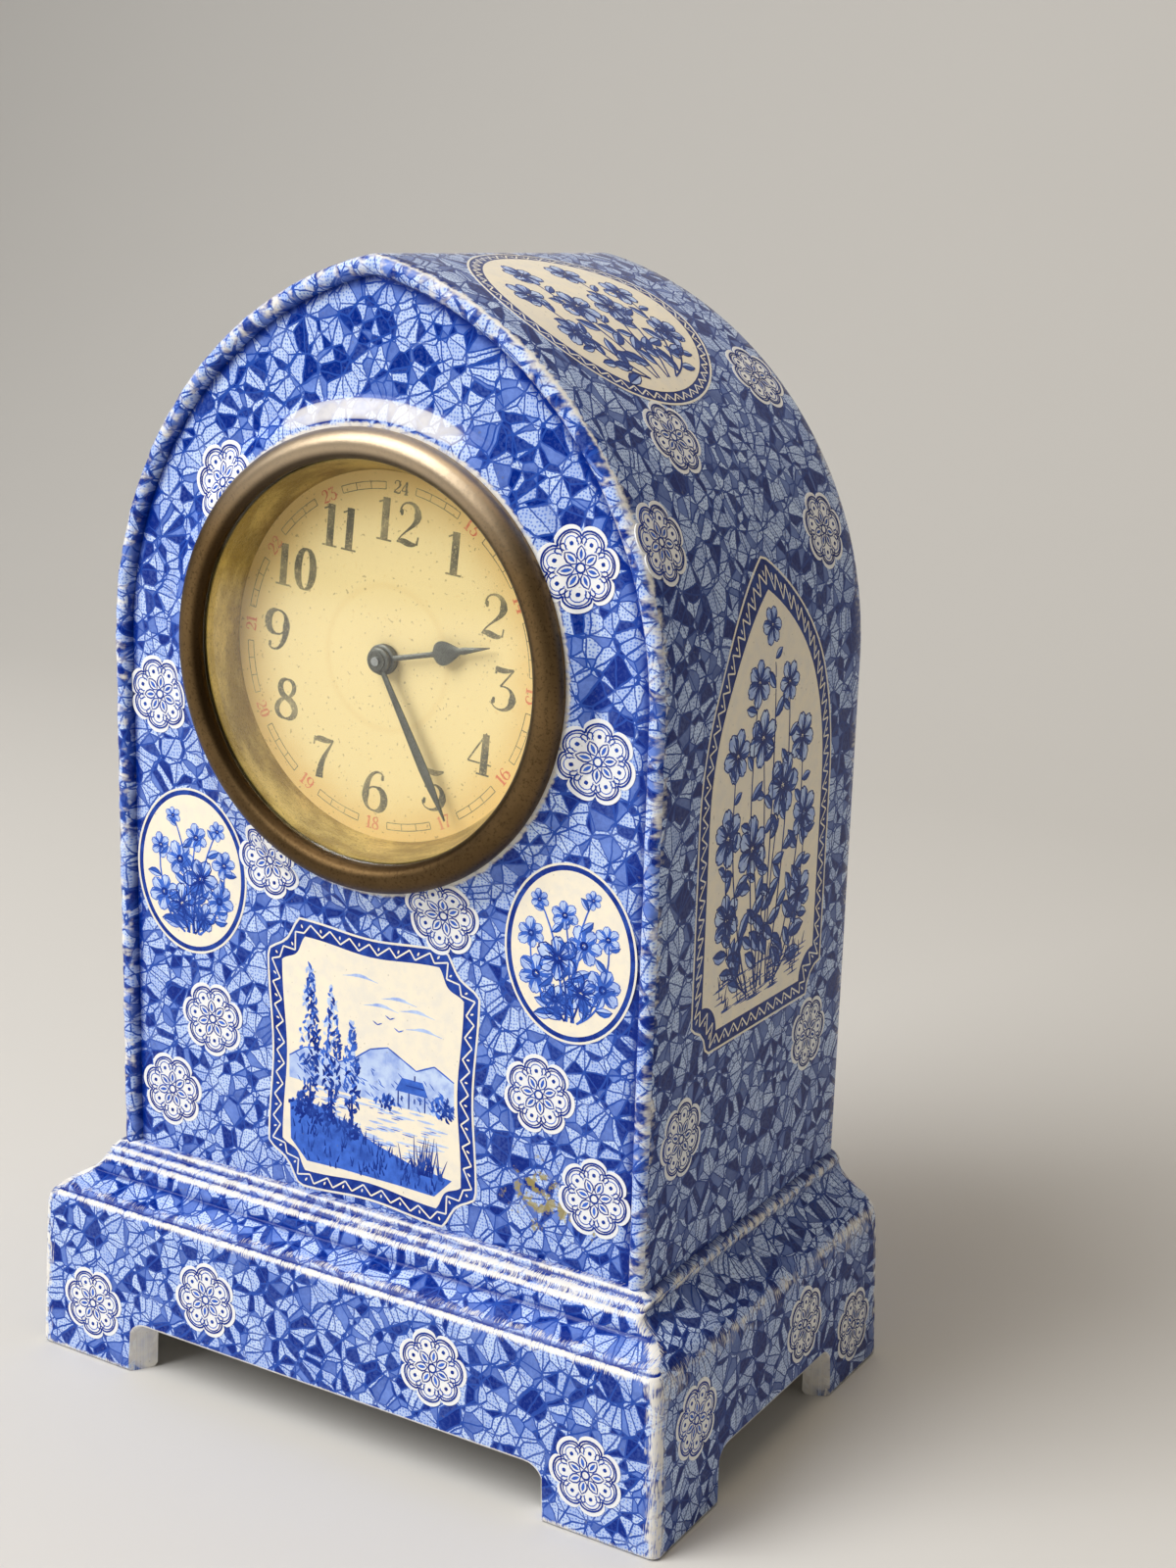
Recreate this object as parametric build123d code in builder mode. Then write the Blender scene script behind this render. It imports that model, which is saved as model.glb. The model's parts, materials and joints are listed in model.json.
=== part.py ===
"""Beehive shelf clock: printed earthenware case, brass bezel and a key-wound lever movement.

Millimetres, Z up, the dial looks along -Y, the origin is under the middle of the plinth.
"""
import os
from math import atan2, cos, degrees, radians, sin, sqrt

from build123d import *

os.makedirs("parts", exist_ok=True)

# earthenware case
BODY_HALF = 75.0
SPRING_Z = 180.0
ARCH_OFF = 18.9
ARCH_R = BODY_HALF + ARCH_OFF
WALL = 6.0
RIM_Y = -42.0
RIM_WIDTH = 4.5
PANEL_Y = -40.0
FRONT_IN_Y = -34.5
BACK_Y = 56.0
BACK_IN_Y = 50.0
PLINTH_HALF = 89.5
PLINTH_DEEP = 57.5
FOOT_FRONT = 29.0
FOOT_SIDE = 28.0
NOTCH_H = 13.0
NOTCH_R = 5.0
DIAL_Z = 183.5
APERTURE_R = 46.8
COLLAR_R = 57.0
COLLAR_Y = -42.6
SEAT_R = 51.0
SEAT_Y = 53.5

# bezel, glass and dial
BEZEL_R = 51.85
SIGHT_R = 45.1
GLASS_R = 45.5
GLASS_T = 1.6
GLASS_RISE = 3.2
DIAL_Y = -34.35
DIAL_R = 42.5
PAPER_T = 0.25

# movement, all depths along Y
DRUM_R = 43.4
DRUM_T = 0.7
DRUM_BACK_Y = 12.0
PLATE_R = 40.5
FRONT_PLATE_Y = -24.0
BACK_PLATE_Y = -1.6
PLATE_T = 1.6
PILLAR_R = 37.5
PILLAR_ANGLES = (62.0, 180.0, 290.0, 345.0)
RUN = 0.05

# arbor places from the dial centre, as (x, z)
CENTRE = (0.0, 0.0)
GREAT = (-15.0, -14.7)
THIRD = (15.6, -9.0)
FOURTH = (23.25, 4.25)
ESCAPE = (16.05, 16.7)
PALLET = (8.6, 24.1)
BALANCE = (-6.5, 25.0)
MINUTE = (-10.4, 6.0)

# the hands stand at about twenty-five past two on a dial that sits turned a little
MINUTE_HAND_TURN = 151.4
HOUR_HAND_TURN = 78.0


def at_y(y):
    """Sketch plane facing the front at depth y, with its own Y running up the clock."""
    return Plane.XZ.offset(-y)


def angle_to(a, b):
    """Direction in degrees from arbor a to arbor b."""
    return degrees(atan2(b[1] - a[1], b[0] - a[0]))


def polar(radius, turn):
    """Point at a radius and angle from the dial centre."""
    return (radius * cos(radians(turn)), radius * sin(radians(turn)))


def disc(place, radius, y0, y1, mode=Mode.ADD):
    """Round bar along Y between two depths."""
    with BuildSketch(at_y(y1)) as face:
        with Locations((place[0], DIAL_Z + place[1])):
            Circle(radius)
    extrude(face.sketch, amount=y1 - y0, mode=mode)


def outline(points, y0, y1, mode=Mode.ADD):
    """Flat piece with straight edges through points measured from the dial centre."""
    with BuildSketch(at_y(y1)) as face:
        with BuildLine():
            Polyline(*[(x, DIAL_Z + z) for x, z in points], close=True)
        make_face()
    extrude(face.sketch, amount=y1 - y0, mode=mode)


def gear(place, teeth, module, turn, y0, y1):
    """Toothed ring with one tooth pointing along turn."""
    pitch = 360.0 / teeth
    root = module * teeth / 2 - 1.2 * module
    tip = module * teeth / 2 + 0.75 * module
    points = []
    for k in range(teeth):
        for radius, part in ((root, -0.27), (tip, -0.10), (tip, 0.10), (root, 0.27)):
            x, z = polar(radius, turn + pitch * (k + part))
            points.append((place[0] + x, place[1] + z))
    outline(points, y0, y1)


def gap_turn(place, other, teeth):
    """Turn that lets a gap between teeth face the other arbor."""
    return angle_to(place, other) + 180.0 / teeth


def saw(place, teeth, tip, root, y0, y1):
    """Ring of slanted teeth, for the ratchet and the escape wheel."""
    pitch = 360.0 / teeth
    points = []
    for k in range(teeth):
        for radius, part in ((root, 0.08), (tip, 0.02), (tip, -0.06)):
            x, z = polar(radius, pitch * (k - part))
            points.append((place[0] + x, place[1] + z))
    outline(points, y0, y1)


def round_holes(place, ring, hole, count, y0, y1):
    """Lightening holes round a wheel."""
    with BuildSketch(at_y(y1)) as face:
        with Locations((place[0], DIAL_Z + place[1])):
            with PolarLocations(ring, count):
                Circle(hole)
    extrude(face.sketch, amount=y1 - y0, mode=Mode.SUBTRACT)


def arc_slot(place, radius, width, turn, span, y0, y1):
    """Curved slot centred on an angle, cut between two depths."""
    low = radius - width / 2
    high = radius + width / 2
    ends = [turn - span / 2, turn, turn + span / 2]
    inner = [(place[0] + polar(low, a)[0], DIAL_Z + place[1] + polar(low, a)[1]) for a in ends]
    outer = [(place[0] + polar(high, a)[0], DIAL_Z + place[1] + polar(high, a)[1]) for a in ends]
    with BuildSketch(at_y(y1)) as face:
        with BuildLine():
            ThreePointArc(*inner)
            Line(inner[2], outer[2])
            ThreePointArc(*reversed(outer))
            Line(outer[0], inner[0])
        make_face()
    extrude(face.sketch, amount=y1 - y0, mode=Mode.SUBTRACT)


def save(piece, name):
    """Name a finished piece and write it out."""
    piece.part.label = name
    export_step(piece.part, f"parts/{name}.step")


# Earthenware case

ARCH_MID = degrees(atan2(sqrt(ARCH_R**2 - ARCH_OFF**2), ARCH_OFF)) / 2


def arch_side(radius, foot_z):
    """Right side and right arc of the lancet, from foot_z up to the point."""
    half = radius - ARCH_OFF
    mid = polar(radius, ARCH_MID)
    Line((half, foot_z), (half, SPRING_Z))
    top = SPRING_Z + sqrt(radius**2 - ARCH_OFF**2)
    ThreePointArc((half, SPRING_Z), (mid[0] - ARCH_OFF, SPRING_Z + mid[1]), (0, top))


with BuildPart() as hollow:
    with BuildSketch(at_y(BACK_IN_Y)):
        with BuildLine():
            Line((0, -1), (PLINTH_HALF - WALL, -1))
            Polyline((PLINTH_HALF - WALL, -1), (82.3, 36), (BODY_HALF - WALL, 47))
            arch_side(ARCH_R - WALL, 47)
            mirror(about=Plane.YZ)
        make_face()
    extrude(amount=110)
    with BuildSketch(Plane.YZ.offset(-100)):
        Polygon((-51.5, -1), (51.5, -1), (BACK_IN_Y, 40), (BACK_IN_Y, 280),
                (FRONT_IN_Y, 280), (FRONT_IN_Y, 46), (-50.5, 34), align=None)
    extrude(amount=200, mode=Mode.INTERSECT)

with BuildPart() as ceramic_case:
    # seen from the front: plinth, swept shoulder, bead, sides and lancet
    with BuildSketch(at_y(60)):
        with BuildLine():
            Line((0, 0), (PLINTH_HALF, 0))
            Line((PLINTH_HALF, 0), (88.3, 36.5))
            ThreePointArc((88.3, 36.5), (87.4, 40.5), (84.5, 43.5))
            ThreePointArc((84.5, 43.5), (80.2, 46.1), (77.2, 50.0))
            ThreePointArc((77.2, 50.0), (77.0, 51.9), (BODY_HALF, 52.8))
            arch_side(ARCH_R, 52.8)
            mirror(about=Plane.YZ)
        make_face()
    extrude(amount=120)
    # seen from the side: plinth face, two beads and a riser, rim face, flat back
    with BuildSketch(Plane.YZ.offset(-100)):
        with BuildLine():
            Polyline((-56.3, 40.5), (-PLINTH_DEEP, 0), (PLINTH_DEEP, 0), (BACK_Y, 44),
                     (BACK_Y, 290), (RIM_Y, 290), (RIM_Y, 52.2), (-42.5, 51.0), (-43.2, 50.8))
            ThreePointArc((-43.2, 50.8), (-44.5, 51.2), (-45.4, 49.9))
            ThreePointArc((-45.4, 49.9), (-46.2, 49.6), (-46.6, 48.9))
            Polyline((-46.6, 48.9), (-47.6, 45.4), (-52.0, 42.2))
            ThreePointArc((-52.0, 42.2), (-53.4, 43.0), (-54.3, 41.3))
            Line((-54.3, 41.3), (-55.2, 41.7))
            ThreePointArc((-55.2, 41.7), (-56.0, 41.4), (-56.3, 40.5))
        make_face()
    extrude(amount=200, mode=Mode.INTERSECT)
    add(hollow.part, mode=Mode.SUBTRACT)
    # openings between the bracket feet
    with BuildSketch(at_y(70)):
        with Locations((0, NOTCH_H - 15)):
            RectangleRounded(2 * (PLINTH_HALF - FOOT_FRONT), 30, NOTCH_R)
    extrude(amount=140, mode=Mode.SUBTRACT)
    with BuildSketch(Plane.YZ.offset(-100)):
        with Locations((0, NOTCH_H - 15)):
            RectangleRounded(2 * (PLINTH_DEEP - FOOT_SIDE), 30, NOTCH_R)
    extrude(amount=200, mode=Mode.SUBTRACT)
    # sunk front panel inside the raised rim
    with BuildSketch(at_y(PANEL_Y)):
        with BuildLine():
            Line((0, 53.4), (BODY_HALF - RIM_WIDTH, 53.4))
            arch_side(ARCH_R - RIM_WIDTH, 53.4)
            mirror(about=Plane.YZ)
        make_face()
    extrude(amount=10, mode=Mode.SUBTRACT)
    # raised collar that the bezel seats on
    with BuildSketch(Plane.XY.offset(DIAL_Z)):
        with BuildLine():
            Polyline((COLLAR_R, -38), (APERTURE_R, -38), (APERTURE_R, COLLAR_Y), (53.6, COLLAR_Y))
            ThreePointArc((53.6, COLLAR_Y), (55.6, -41.9), (COLLAR_R, PANEL_Y))
            Line((COLLAR_R, PANEL_Y), (COLLAR_R, -38))
        make_face()
    revolve(axis=Axis((0, 0, DIAL_Z), (0, 1, 0)))
    disc(CENTRE, APERTURE_R, -50, 70, mode=Mode.SUBTRACT)
    disc(CENTRE, SEAT_R, SEAT_Y, 70, mode=Mode.SUBTRACT)
save(ceramic_case, "ceramic_case")

# Bezel, glass, sight ring and dial

DIAL_AXIS = Axis((0, 0, DIAL_Z), (0, 1, 0))

with BuildPart() as bezel:
    with BuildSketch(Plane.XY.offset(DIAL_Z)):
        with BuildLine():
            Polyline((SIGHT_R, -45.2), (SIGHT_R, -44.2), (45.6, -44.2), (45.6, -33.0), (46.3, -33.0),
                     (46.3, COLLAR_Y), (BEZEL_R, COLLAR_Y), (BEZEL_R, -43.3))
            ThreePointArc((BEZEL_R, -43.3), (50.9, -45.8), (48.4, -47.0))
            ThreePointArc((48.4, -47.0), (46.4, -46.5), (SIGHT_R, -45.2))
        make_face()
    revolve(axis=DIAL_AXIS)
save(bezel, "bezel")

# the glass is a shallow cap of a sphere with a flat edge that the bezel's lip holds
CAP_R = 45.0
GLASS_CURVE = (CAP_R**2 + GLASS_RISE**2) / (2 * GLASS_RISE)
CAP_MID = GLASS_RISE - GLASS_CURVE + sqrt(GLASS_CURVE**2 - (CAP_R / 2) ** 2)
LIP_Y = -44.2

with BuildPart() as dial_glass:
    with BuildSketch(Plane.XY.offset(DIAL_Z)):
        with BuildLine():
            ThreePointArc((0, LIP_Y - GLASS_RISE), (CAP_R / 2, LIP_Y - CAP_MID), (CAP_R, LIP_Y))
            Polyline((CAP_R, LIP_Y), (GLASS_R, LIP_Y), (GLASS_R, LIP_Y + GLASS_T), (CAP_R, LIP_Y + GLASS_T))
            ThreePointArc((CAP_R, LIP_Y + GLASS_T), (CAP_R / 2, LIP_Y + GLASS_T - CAP_MID),
                          (0, LIP_Y + GLASS_T - GLASS_RISE))
            Line((0, LIP_Y + GLASS_T - GLASS_RISE), (0, LIP_Y - GLASS_RISE))
        make_face()
    revolve(axis=DIAL_AXIS)
save(dial_glass, "dial_glass")

with BuildPart() as sight_ring:
    with BuildSketch(Plane.XY.offset(DIAL_Z)):
        Polygon((44.7, -42.6), (GLASS_R, -42.6), (GLASS_R, -41.9), (45.15, -41.9),
                (42.4, DIAL_Y), (41.8, DIAL_Y), align=None)
    revolve(axis=DIAL_AXIS)
save(sight_ring, "sight_ring")

with BuildPart() as paper_dial:
    disc(CENTRE, DIAL_R, DIAL_Y, DIAL_Y + PAPER_T)
    disc(CENTRE, 3.2, -40, -30, mode=Mode.SUBTRACT)
save(paper_dial, "paper_dial")

DIAL_FOOT_ANGLES = (30.0, 150.0, 270.0)
DIAL_FOOT_R = 36.0

with BuildPart() as dial_plate:
    disc(CENTRE, DIAL_R, DIAL_Y + PAPER_T, -33.5)
    disc(CENTRE, 3.4, -40, -30, mode=Mode.SUBTRACT)
save(dial_plate, "dial_plate")

with BuildPart() as dial_feet:
    for turn in DIAL_FOOT_ANGLES:
        disc(polar(DIAL_FOOT_R, turn), 1.2, -33.5, FRONT_PLATE_Y)
save(dial_feet, "dial_feet")

# Hands


def hand_point(along, across, turn):
    """Point on a hand that stands turn degrees clockwise from twelve."""
    a = radians(turn)
    return (along * sin(a) + across * cos(a), DIAL_Z + along * cos(a) - across * sin(a))


with BuildPart() as hour_hand:
    with BuildSketch(at_y(-36.1)):
        with BuildLine():
            def h(along, across):
                return hand_point(along, across, HOUR_HAND_TURN)
            Line(h(0, 0.6), h(13.0, 0.6))
            ThreePointArc(h(13.0, 0.6), h(14.2, 1.9), h(16.2, 2.6))
            ThreePointArc(h(16.2, 2.6), h(18.6, 2.1), h(20.2, 0.9))
            Polyline(h(20.2, 0.9), h(29.3, 0.15), h(29.3, -0.15), h(20.2, -0.9))
            ThreePointArc(h(20.2, -0.9), h(18.6, -2.1), h(16.2, -2.6))
            ThreePointArc(h(16.2, -2.6), h(14.2, -1.9), h(13.0, -0.6))
            Polyline(h(13.0, -0.6), h(0, -0.6), h(0, 0.6))
        make_face()
        with Locations((0, DIAL_Z)):
            Circle(3.5)
    extrude(amount=0.5)
    disc(CENTRE, 3.5, -36.1, -35.0)  # collet
    disc(CENTRE, 2.6, -40, -30, mode=Mode.SUBTRACT)
save(hour_hand, "hour_hand")

with BuildPart() as minute_hand:
    with BuildSketch(at_y(-37.4)):
        with BuildLine():
            def m(along, across):
                return hand_point(along, across, MINUTE_HAND_TURN)
            Polyline(m(0, 0.6), m(6.0, 0.7), m(26.0, 1.2), m(31.0, 0.95), m(38.6, 0.12), m(38.6, -0.12),
                     m(31.0, -0.95), m(26.0, -1.2), m(6.0, -0.7), m(0, -0.6), m(0, 0.6))
        make_face()
        with Locations((0, DIAL_Z)):
            Circle(2.9)
    extrude(amount=0.5)
    disc(CENTRE, 2.9, -37.4, -36.95)  # collet
    disc(CENTRE, 1.8, -40, -30, mode=Mode.SUBTRACT)
save(minute_hand, "minute_hand")

with BuildPart() as hand_washer:
    disc(CENTRE, 2.1, -38.3, -37.9)
    disc(CENTRE, 1.0, -40, -30, mode=Mode.SUBTRACT)
save(hand_washer, "hand_washer")

# Motion work between the dial and the front plate

with BuildPart() as cannon_pinion:
    gear(CENTRE, 12, 0.5, angle_to(CENTRE, MINUTE), -27.2, -25.0)
    disc(CENTRE, 1.8, -37.9, -25.0)
    disc(CENTRE, 1.0, -40, -20, mode=Mode.SUBTRACT)
save(cannon_pinion, "cannon_pinion")

with BuildPart() as minute_stud:
    disc(MINUTE, 0.8, -31.6, FRONT_PLATE_Y)
save(minute_stud, "minute_stud")

with BuildPart() as minute_wheel:
    gear(MINUTE, 36, 0.5, gap_turn(MINUTE, CENTRE, 36), -26.5, -25.6)
    round_holes(MINUTE, 5.6, 1.6, 5, -27, -25)
    disc(MINUTE, 1.3, -27, -25, mode=Mode.SUBTRACT)
save(minute_wheel, "minute_wheel")

with BuildPart() as minute_pinion:
    gear(MINUTE, 10, 0.48, gap_turn(MINUTE, CENTRE, 10), -31.0, -27.4)
    disc(MINUTE, 1.3, -27.4, -24.8)
    disc(MINUTE, 0.8 + RUN, -40, -20, mode=Mode.SUBTRACT)
save(minute_pinion, "minute_pinion")

with BuildPart() as hour_wheel:
    gear(CENTRE, 40, 0.48, angle_to(CENTRE, MINUTE), -30.2, -29.3)
    round_holes(CENTRE, 6.0, 1.7, 5, -31, -29)
    disc(CENTRE, 2.6, -36.6, -29.0)
    disc(CENTRE, 1.8 + RUN, -40, -20, mode=Mode.SUBTRACT)
save(hour_wheel, "hour_wheel")

# Plates, pillars and nuts

PIVOTS = ((THIRD, 0.5), (FOURTH, 0.5), (ESCAPE, 0.5), (PALLET, 0.5))
BALANCE_SCREW_R = 1.8
POST_R = 36.0
POST_ANGLES = (30.0, 150.0, 270.0)
CURB_R = 6.0

with BuildPart() as front_plate:
    disc(CENTRE, PLATE_R, FRONT_PLATE_Y, FRONT_PLATE_Y + PLATE_T)
    disc(CENTRE, 1.6 + RUN, -26, -20, mode=Mode.SUBTRACT)
    disc(GREAT, 1.6 + RUN, -26, -20, mode=Mode.SUBTRACT)
    disc(BALANCE, BALANCE_SCREW_R, -26, -20, mode=Mode.SUBTRACT)
    for place, radius in PIVOTS:
        disc(place, radius + RUN, -26, -20, mode=Mode.SUBTRACT)
save(front_plate, "front_plate")

with BuildPart() as back_plate:
    disc(CENTRE, PLATE_R, BACK_PLATE_Y, BACK_PLATE_Y + PLATE_T)
    disc(CENTRE, 1.6 + RUN, -4, 4, mode=Mode.SUBTRACT)
    disc(GREAT, 1.8 + RUN, -4, 4, mode=Mode.SUBTRACT)
    disc(BALANCE, BALANCE_SCREW_R, -4, 4, mode=Mode.SUBTRACT)
    for place, radius in PIVOTS:
        disc(place, radius + RUN, -4, 4, mode=Mode.SUBTRACT)
    # curved slot for the regulator's curb pins
    arc_slot(BALANCE, CURB_R, 2.6, 90.0, 60.0, -4, 4)
save(back_plate, "back_plate")

with BuildPart() as plate_pillars:
    for turn in PILLAR_ANGLES:
        disc(polar(PILLAR_R, turn), 1.9, FRONT_PLATE_Y + PLATE_T, BACK_PLATE_Y)
save(plate_pillars, "plate_pillars")

with BuildPart() as pillar_nuts:
    for turn in PILLAR_ANGLES:
        x, z = polar(PILLAR_R, turn)
        with BuildSketch(at_y(1.8)):
            with Locations((x, DIAL_Z + z)):
                RegularPolygon(2.3, 6)
        extrude(amount=1.8)
save(pillar_nuts, "pillar_nuts")

with BuildPart() as back_posts:
    for turn in POST_ANGLES:
        disc(polar(POST_R, turn), 2.0, 0, DRUM_BACK_Y)
save(back_posts, "back_posts")

# Going train

with BuildPart() as centre_arbor:
    disc(CENTRE, 1.0, -38.9, -24.9)
    disc(CENTRE, 1.6, -24.9, 17.0)
save(centre_arbor, "centre_arbor")

with BuildPart() as centre_pinion:
    gear(CENTRE, 10, 0.6, gap_turn(CENTRE, GREAT, 10), -18.8, -15.0)
    disc(CENTRE, 2.4, -21.6, -18.8)
    disc(CENTRE, 1.6 + RUN, -25, -10, mode=Mode.SUBTRACT)
save(centre_pinion, "centre_pinion")

with BuildPart() as centre_wheel:
    gear(CENTRE, 64, 0.5, angle_to(CENTRE, THIRD), -20.5, -19.6)
    round_holes(CENTRE, 9.0, 3.4, 5, -21, -19)
    disc(CENTRE, 2.4, -25, -10, mode=Mode.SUBTRACT)
save(centre_wheel, "centre_wheel")

with BuildPart() as clutch_spring:
    disc(CENTRE, 3.6, -14.7, -14.2)
    disc(CENTRE, 2.4, -14.2, -13.4)
    disc(CENTRE, 1.6, -25, -10, mode=Mode.SUBTRACT)
save(clutch_spring, "clutch_spring")

with BuildPart() as great_wheel:
    gear(GREAT, 60, 0.6, angle_to(GREAT, CENTRE), -17.5, -16.0)
    disc(GREAT, 4.0, -16.0, -15.4)
    disc(GREAT, 2.2 + RUN, -25, 0, mode=Mode.SUBTRACT)
save(great_wheel, "great_wheel")

with BuildPart() as winding_arbor:
    disc(GREAT, 1.6, -24.2, -22.0)
    disc(GREAT, 2.2, -22.0, -2.2)
    disc(GREAT, 1.8, -2.2, 15.0)
save(winding_arbor, "winding_arbor")

RATCHET_TIP = 6.6

with BuildPart() as ratchet_wheel:
    saw(GREAT, 18, RATCHET_TIP, 5.4, -19.2, -18.0)
    disc(GREAT, 2.2, -25, 0, mode=Mode.SUBTRACT)
save(ratchet_wheel, "ratchet_wheel")

CLICK = (GREAT[0] - 8.6, GREAT[1] - 7.4)


def from_great(x, z):
    """Point measured from the winding arbor."""
    return (GREAT[0] + x, GREAT[1] + z)


with BuildPart() as click_screw:
    disc(CLICK, 0.9, -19.0, -17.5)
    disc(CLICK, 1.6, -19.3, -19.0)
save(click_screw, "click_screw")

with BuildPart() as click:
    outline((from_great(-10.2, -8.6), from_great(-7.2, -8.6), from_great(-7.2, -5.0),
             from_great(-6.9, 0.2), from_great(-8.2, 0.6), from_great(-10.2, -5.0)), -18.9, -17.8)
    disc(CLICK, 0.9 + RUN, -25, -10, mode=Mode.SUBTRACT)
save(click, "click")

with BuildPart() as click_spring:
    outline((from_great(-12.6, -7.0), from_great(-11.8, -7.0), from_great(-11.8, -4.4),
             from_great(-10.2, 0.6), from_great(-10.8, 0.8), from_great(-12.6, -4.4)), -18.7, -17.5)
save(click_spring, "click_spring")


def spiral(place, inner, outer, turns, thick, steps):
    """Inner and outer edges of a flat coil, few points to each turn."""
    inside = []
    outside = []
    for k in range(steps + 1):
        radius = inner + (outer - inner) * k / steps
        turn = 360.0 * turns * k / steps
        x, z = polar(radius, turn)
        inside.append((place[0] + x, DIAL_Z + place[1] + z))
        x, z = polar(radius + thick, turn)
        outside.append((place[0] + x, DIAL_Z + place[1] + z))
    return inside, outside


def coil(place, inner, outer, turns, thick, y0, y1):
    """Flat coil spring, a ribbon wound round an arbor."""
    inside, outside = spiral(place, inner, outer, turns, thick, int(abs(turns) * 12))
    with BuildSketch(at_y(y1)) as face:
        with BuildLine():
            Spline(*inside)
            Line(inside[-1], outside[-1])
            Spline(*reversed(outside))
            Line(outside[0], inside[0])
        make_face()
    extrude(face.sketch, amount=y1 - y0)


with BuildPart() as mainspring:
    coil(GREAT, 2.3, 14.6, -9.5, 0.45, -14.8, -4.6)
    # outer end runs to an eye round the pillar that anchors it
    anchor = polar(PILLAR_R, PILLAR_ANGLES[1])
    outline((from_great(-14.6, -0.2), from_great(-15.05, -0.2), (anchor[0] + 1.6, -1.0),
             (anchor[0] + 2.1, -0.8)), -14.8, -4.6)
    disc(anchor, 2.4, -14.8, -4.6)
    disc(anchor, 1.9, -14.8, -4.6, mode=Mode.SUBTRACT)
save(mainspring, "mainspring")

with BuildPart() as third_arbor:
    gear(THIRD, 8, 0.5, gap_turn(THIRD, CENTRE, 8), -21.4, -18.6)
    disc(THIRD, 0.5, -24.0, 0.0)
    disc(THIRD, 1.0, -22.0, -2.0)
save(third_arbor, "third_arbor")

with BuildPart() as third_wheel:
    gear(THIRD, 60, 0.45, angle_to(THIRD, FOURTH), -13.5, -12.6)
    round_holes(THIRD, 7.6, 2.9, 5, -14, -12)
    disc(THIRD, 1.0, -25, 0, mode=Mode.SUBTRACT)
save(third_wheel, "third_wheel")

with BuildPart() as fourth_arbor:
    gear(FOURTH, 8, 0.45, gap_turn(FOURTH, THIRD, 8), -14.6, -11.6)
    disc(FOURTH, 0.5, -24.0, 0.0)
    disc(FOURTH, 0.9, -22.0, -2.0)
save(fourth_arbor, "fourth_arbor")

with BuildPart() as fourth_wheel:
    gear(FOURTH, 64, 0.4, angle_to(FOURTH, ESCAPE), -9.5, -8.7)
    round_holes(FOURTH, 7.2, 2.7, 5, -10, -8)
    disc(FOURTH, 0.9, -25, 0, mode=Mode.SUBTRACT)
save(fourth_wheel, "fourth_wheel")

with BuildPart() as escape_arbor:
    gear(ESCAPE, 8, 0.4, gap_turn(ESCAPE, FOURTH, 8), -10.6, -7.6)
    disc(ESCAPE, 0.5, -24.0, 0.0)
    disc(ESCAPE, 0.8, -22.0, -2.0)
save(escape_arbor, "escape_arbor")

with BuildPart() as escape_wheel:
    saw(ESCAPE, 15, 6.4, 4.6, -5.6, -4.8)
    disc(ESCAPE, 0.8, -25, 0, mode=Mode.SUBTRACT)
save(escape_wheel, "escape_wheel")

# Lever, balance and hairspring


def between(a, b, along, across):
    """Point measured from arbor a along the line to arbor b, and square to it."""
    turn = radians(angle_to(a, b))
    return (a[0] + along * cos(turn) - across * sin(turn), a[1] + along * sin(turn) + across * cos(turn))


with BuildPart() as pallet_lever:
    outline((between(PALLET, ESCAPE, 3.4, 4.3), between(PALLET, ESCAPE, 4.6, 4.3),
             between(PALLET, ESCAPE, 1.6, 0.0), between(PALLET, ESCAPE, 4.6, -4.3),
             between(PALLET, ESCAPE, 3.4, -4.3), between(PALLET, ESCAPE, -1.4, 0.0)), -7.4, -6.6)
    outline((between(PALLET, BALANCE, 0.0, 0.9), between(PALLET, BALANCE, 11.7, 0.5),
             between(PALLET, BALANCE, 11.7, -0.5), between(PALLET, BALANCE, 0.0, -0.9)), -7.4, -6.6)
    disc(PALLET, 1.6, -7.4, -6.6)
    disc(PALLET, 0.8, -25, 0, mode=Mode.SUBTRACT)
    # the two steel pins that the escape teeth strike
    disc(between(PALLET, ESCAPE, 4.0, 3.8), 0.3, -6.6, -4.6)
    disc(between(PALLET, ESCAPE, 4.0, -3.8), 0.3, -6.6, -4.6)
save(pallet_lever, "pallet_lever")

with BuildPart() as pallet_arbor:
    disc(PALLET, 0.5, -24.0, 0.0)
    disc(PALLET, 0.8, -22.0, -2.0)
save(pallet_arbor, "pallet_arbor")

with BuildPart() as balance_staff:
    disc(BALANCE, 0.4, -22.6, -1.4)
    disc(BALANCE, 0.9, -21.0, -3.0)
    disc(BALANCE, 2.0, -8.4, -7.7)
    disc(between(BALANCE, PALLET, 1.6, 0), 0.3, -7.7, -6.4)
save(balance_staff, "balance_staff")

with BuildPart() as balance_wheel:
    disc(BALANCE, 9.4, -16.0, -14.4)
    disc(BALANCE, 7.9, -17, -13, mode=Mode.SUBTRACT)
    outline([between(BALANCE, CENTRE, a, b) for a, b in
             ((-8.2, -0.9), (8.2, -0.9), (8.2, 0.9), (-8.2, 0.9))], -15.6, -14.8)
    disc(BALANCE, 2.0, -15.9, -14.5)
    disc(BALANCE, 0.9, -25, 0, mode=Mode.SUBTRACT)
save(balance_wheel, "balance_wheel")

with BuildPart() as hairspring:
    coil(BALANCE, 1.0, CURB_R - 0.1, 7.75, 0.14, -11.0, -10.2)
save(hairspring, "hairspring")

with BuildPart() as hairspring_stud:
    disc((BALANCE[0], BALANCE[1] - CURB_R - 1.0), 0.9, -11.4, BACK_PLATE_Y)
save(hairspring_stud, "hairspring_stud")

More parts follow.
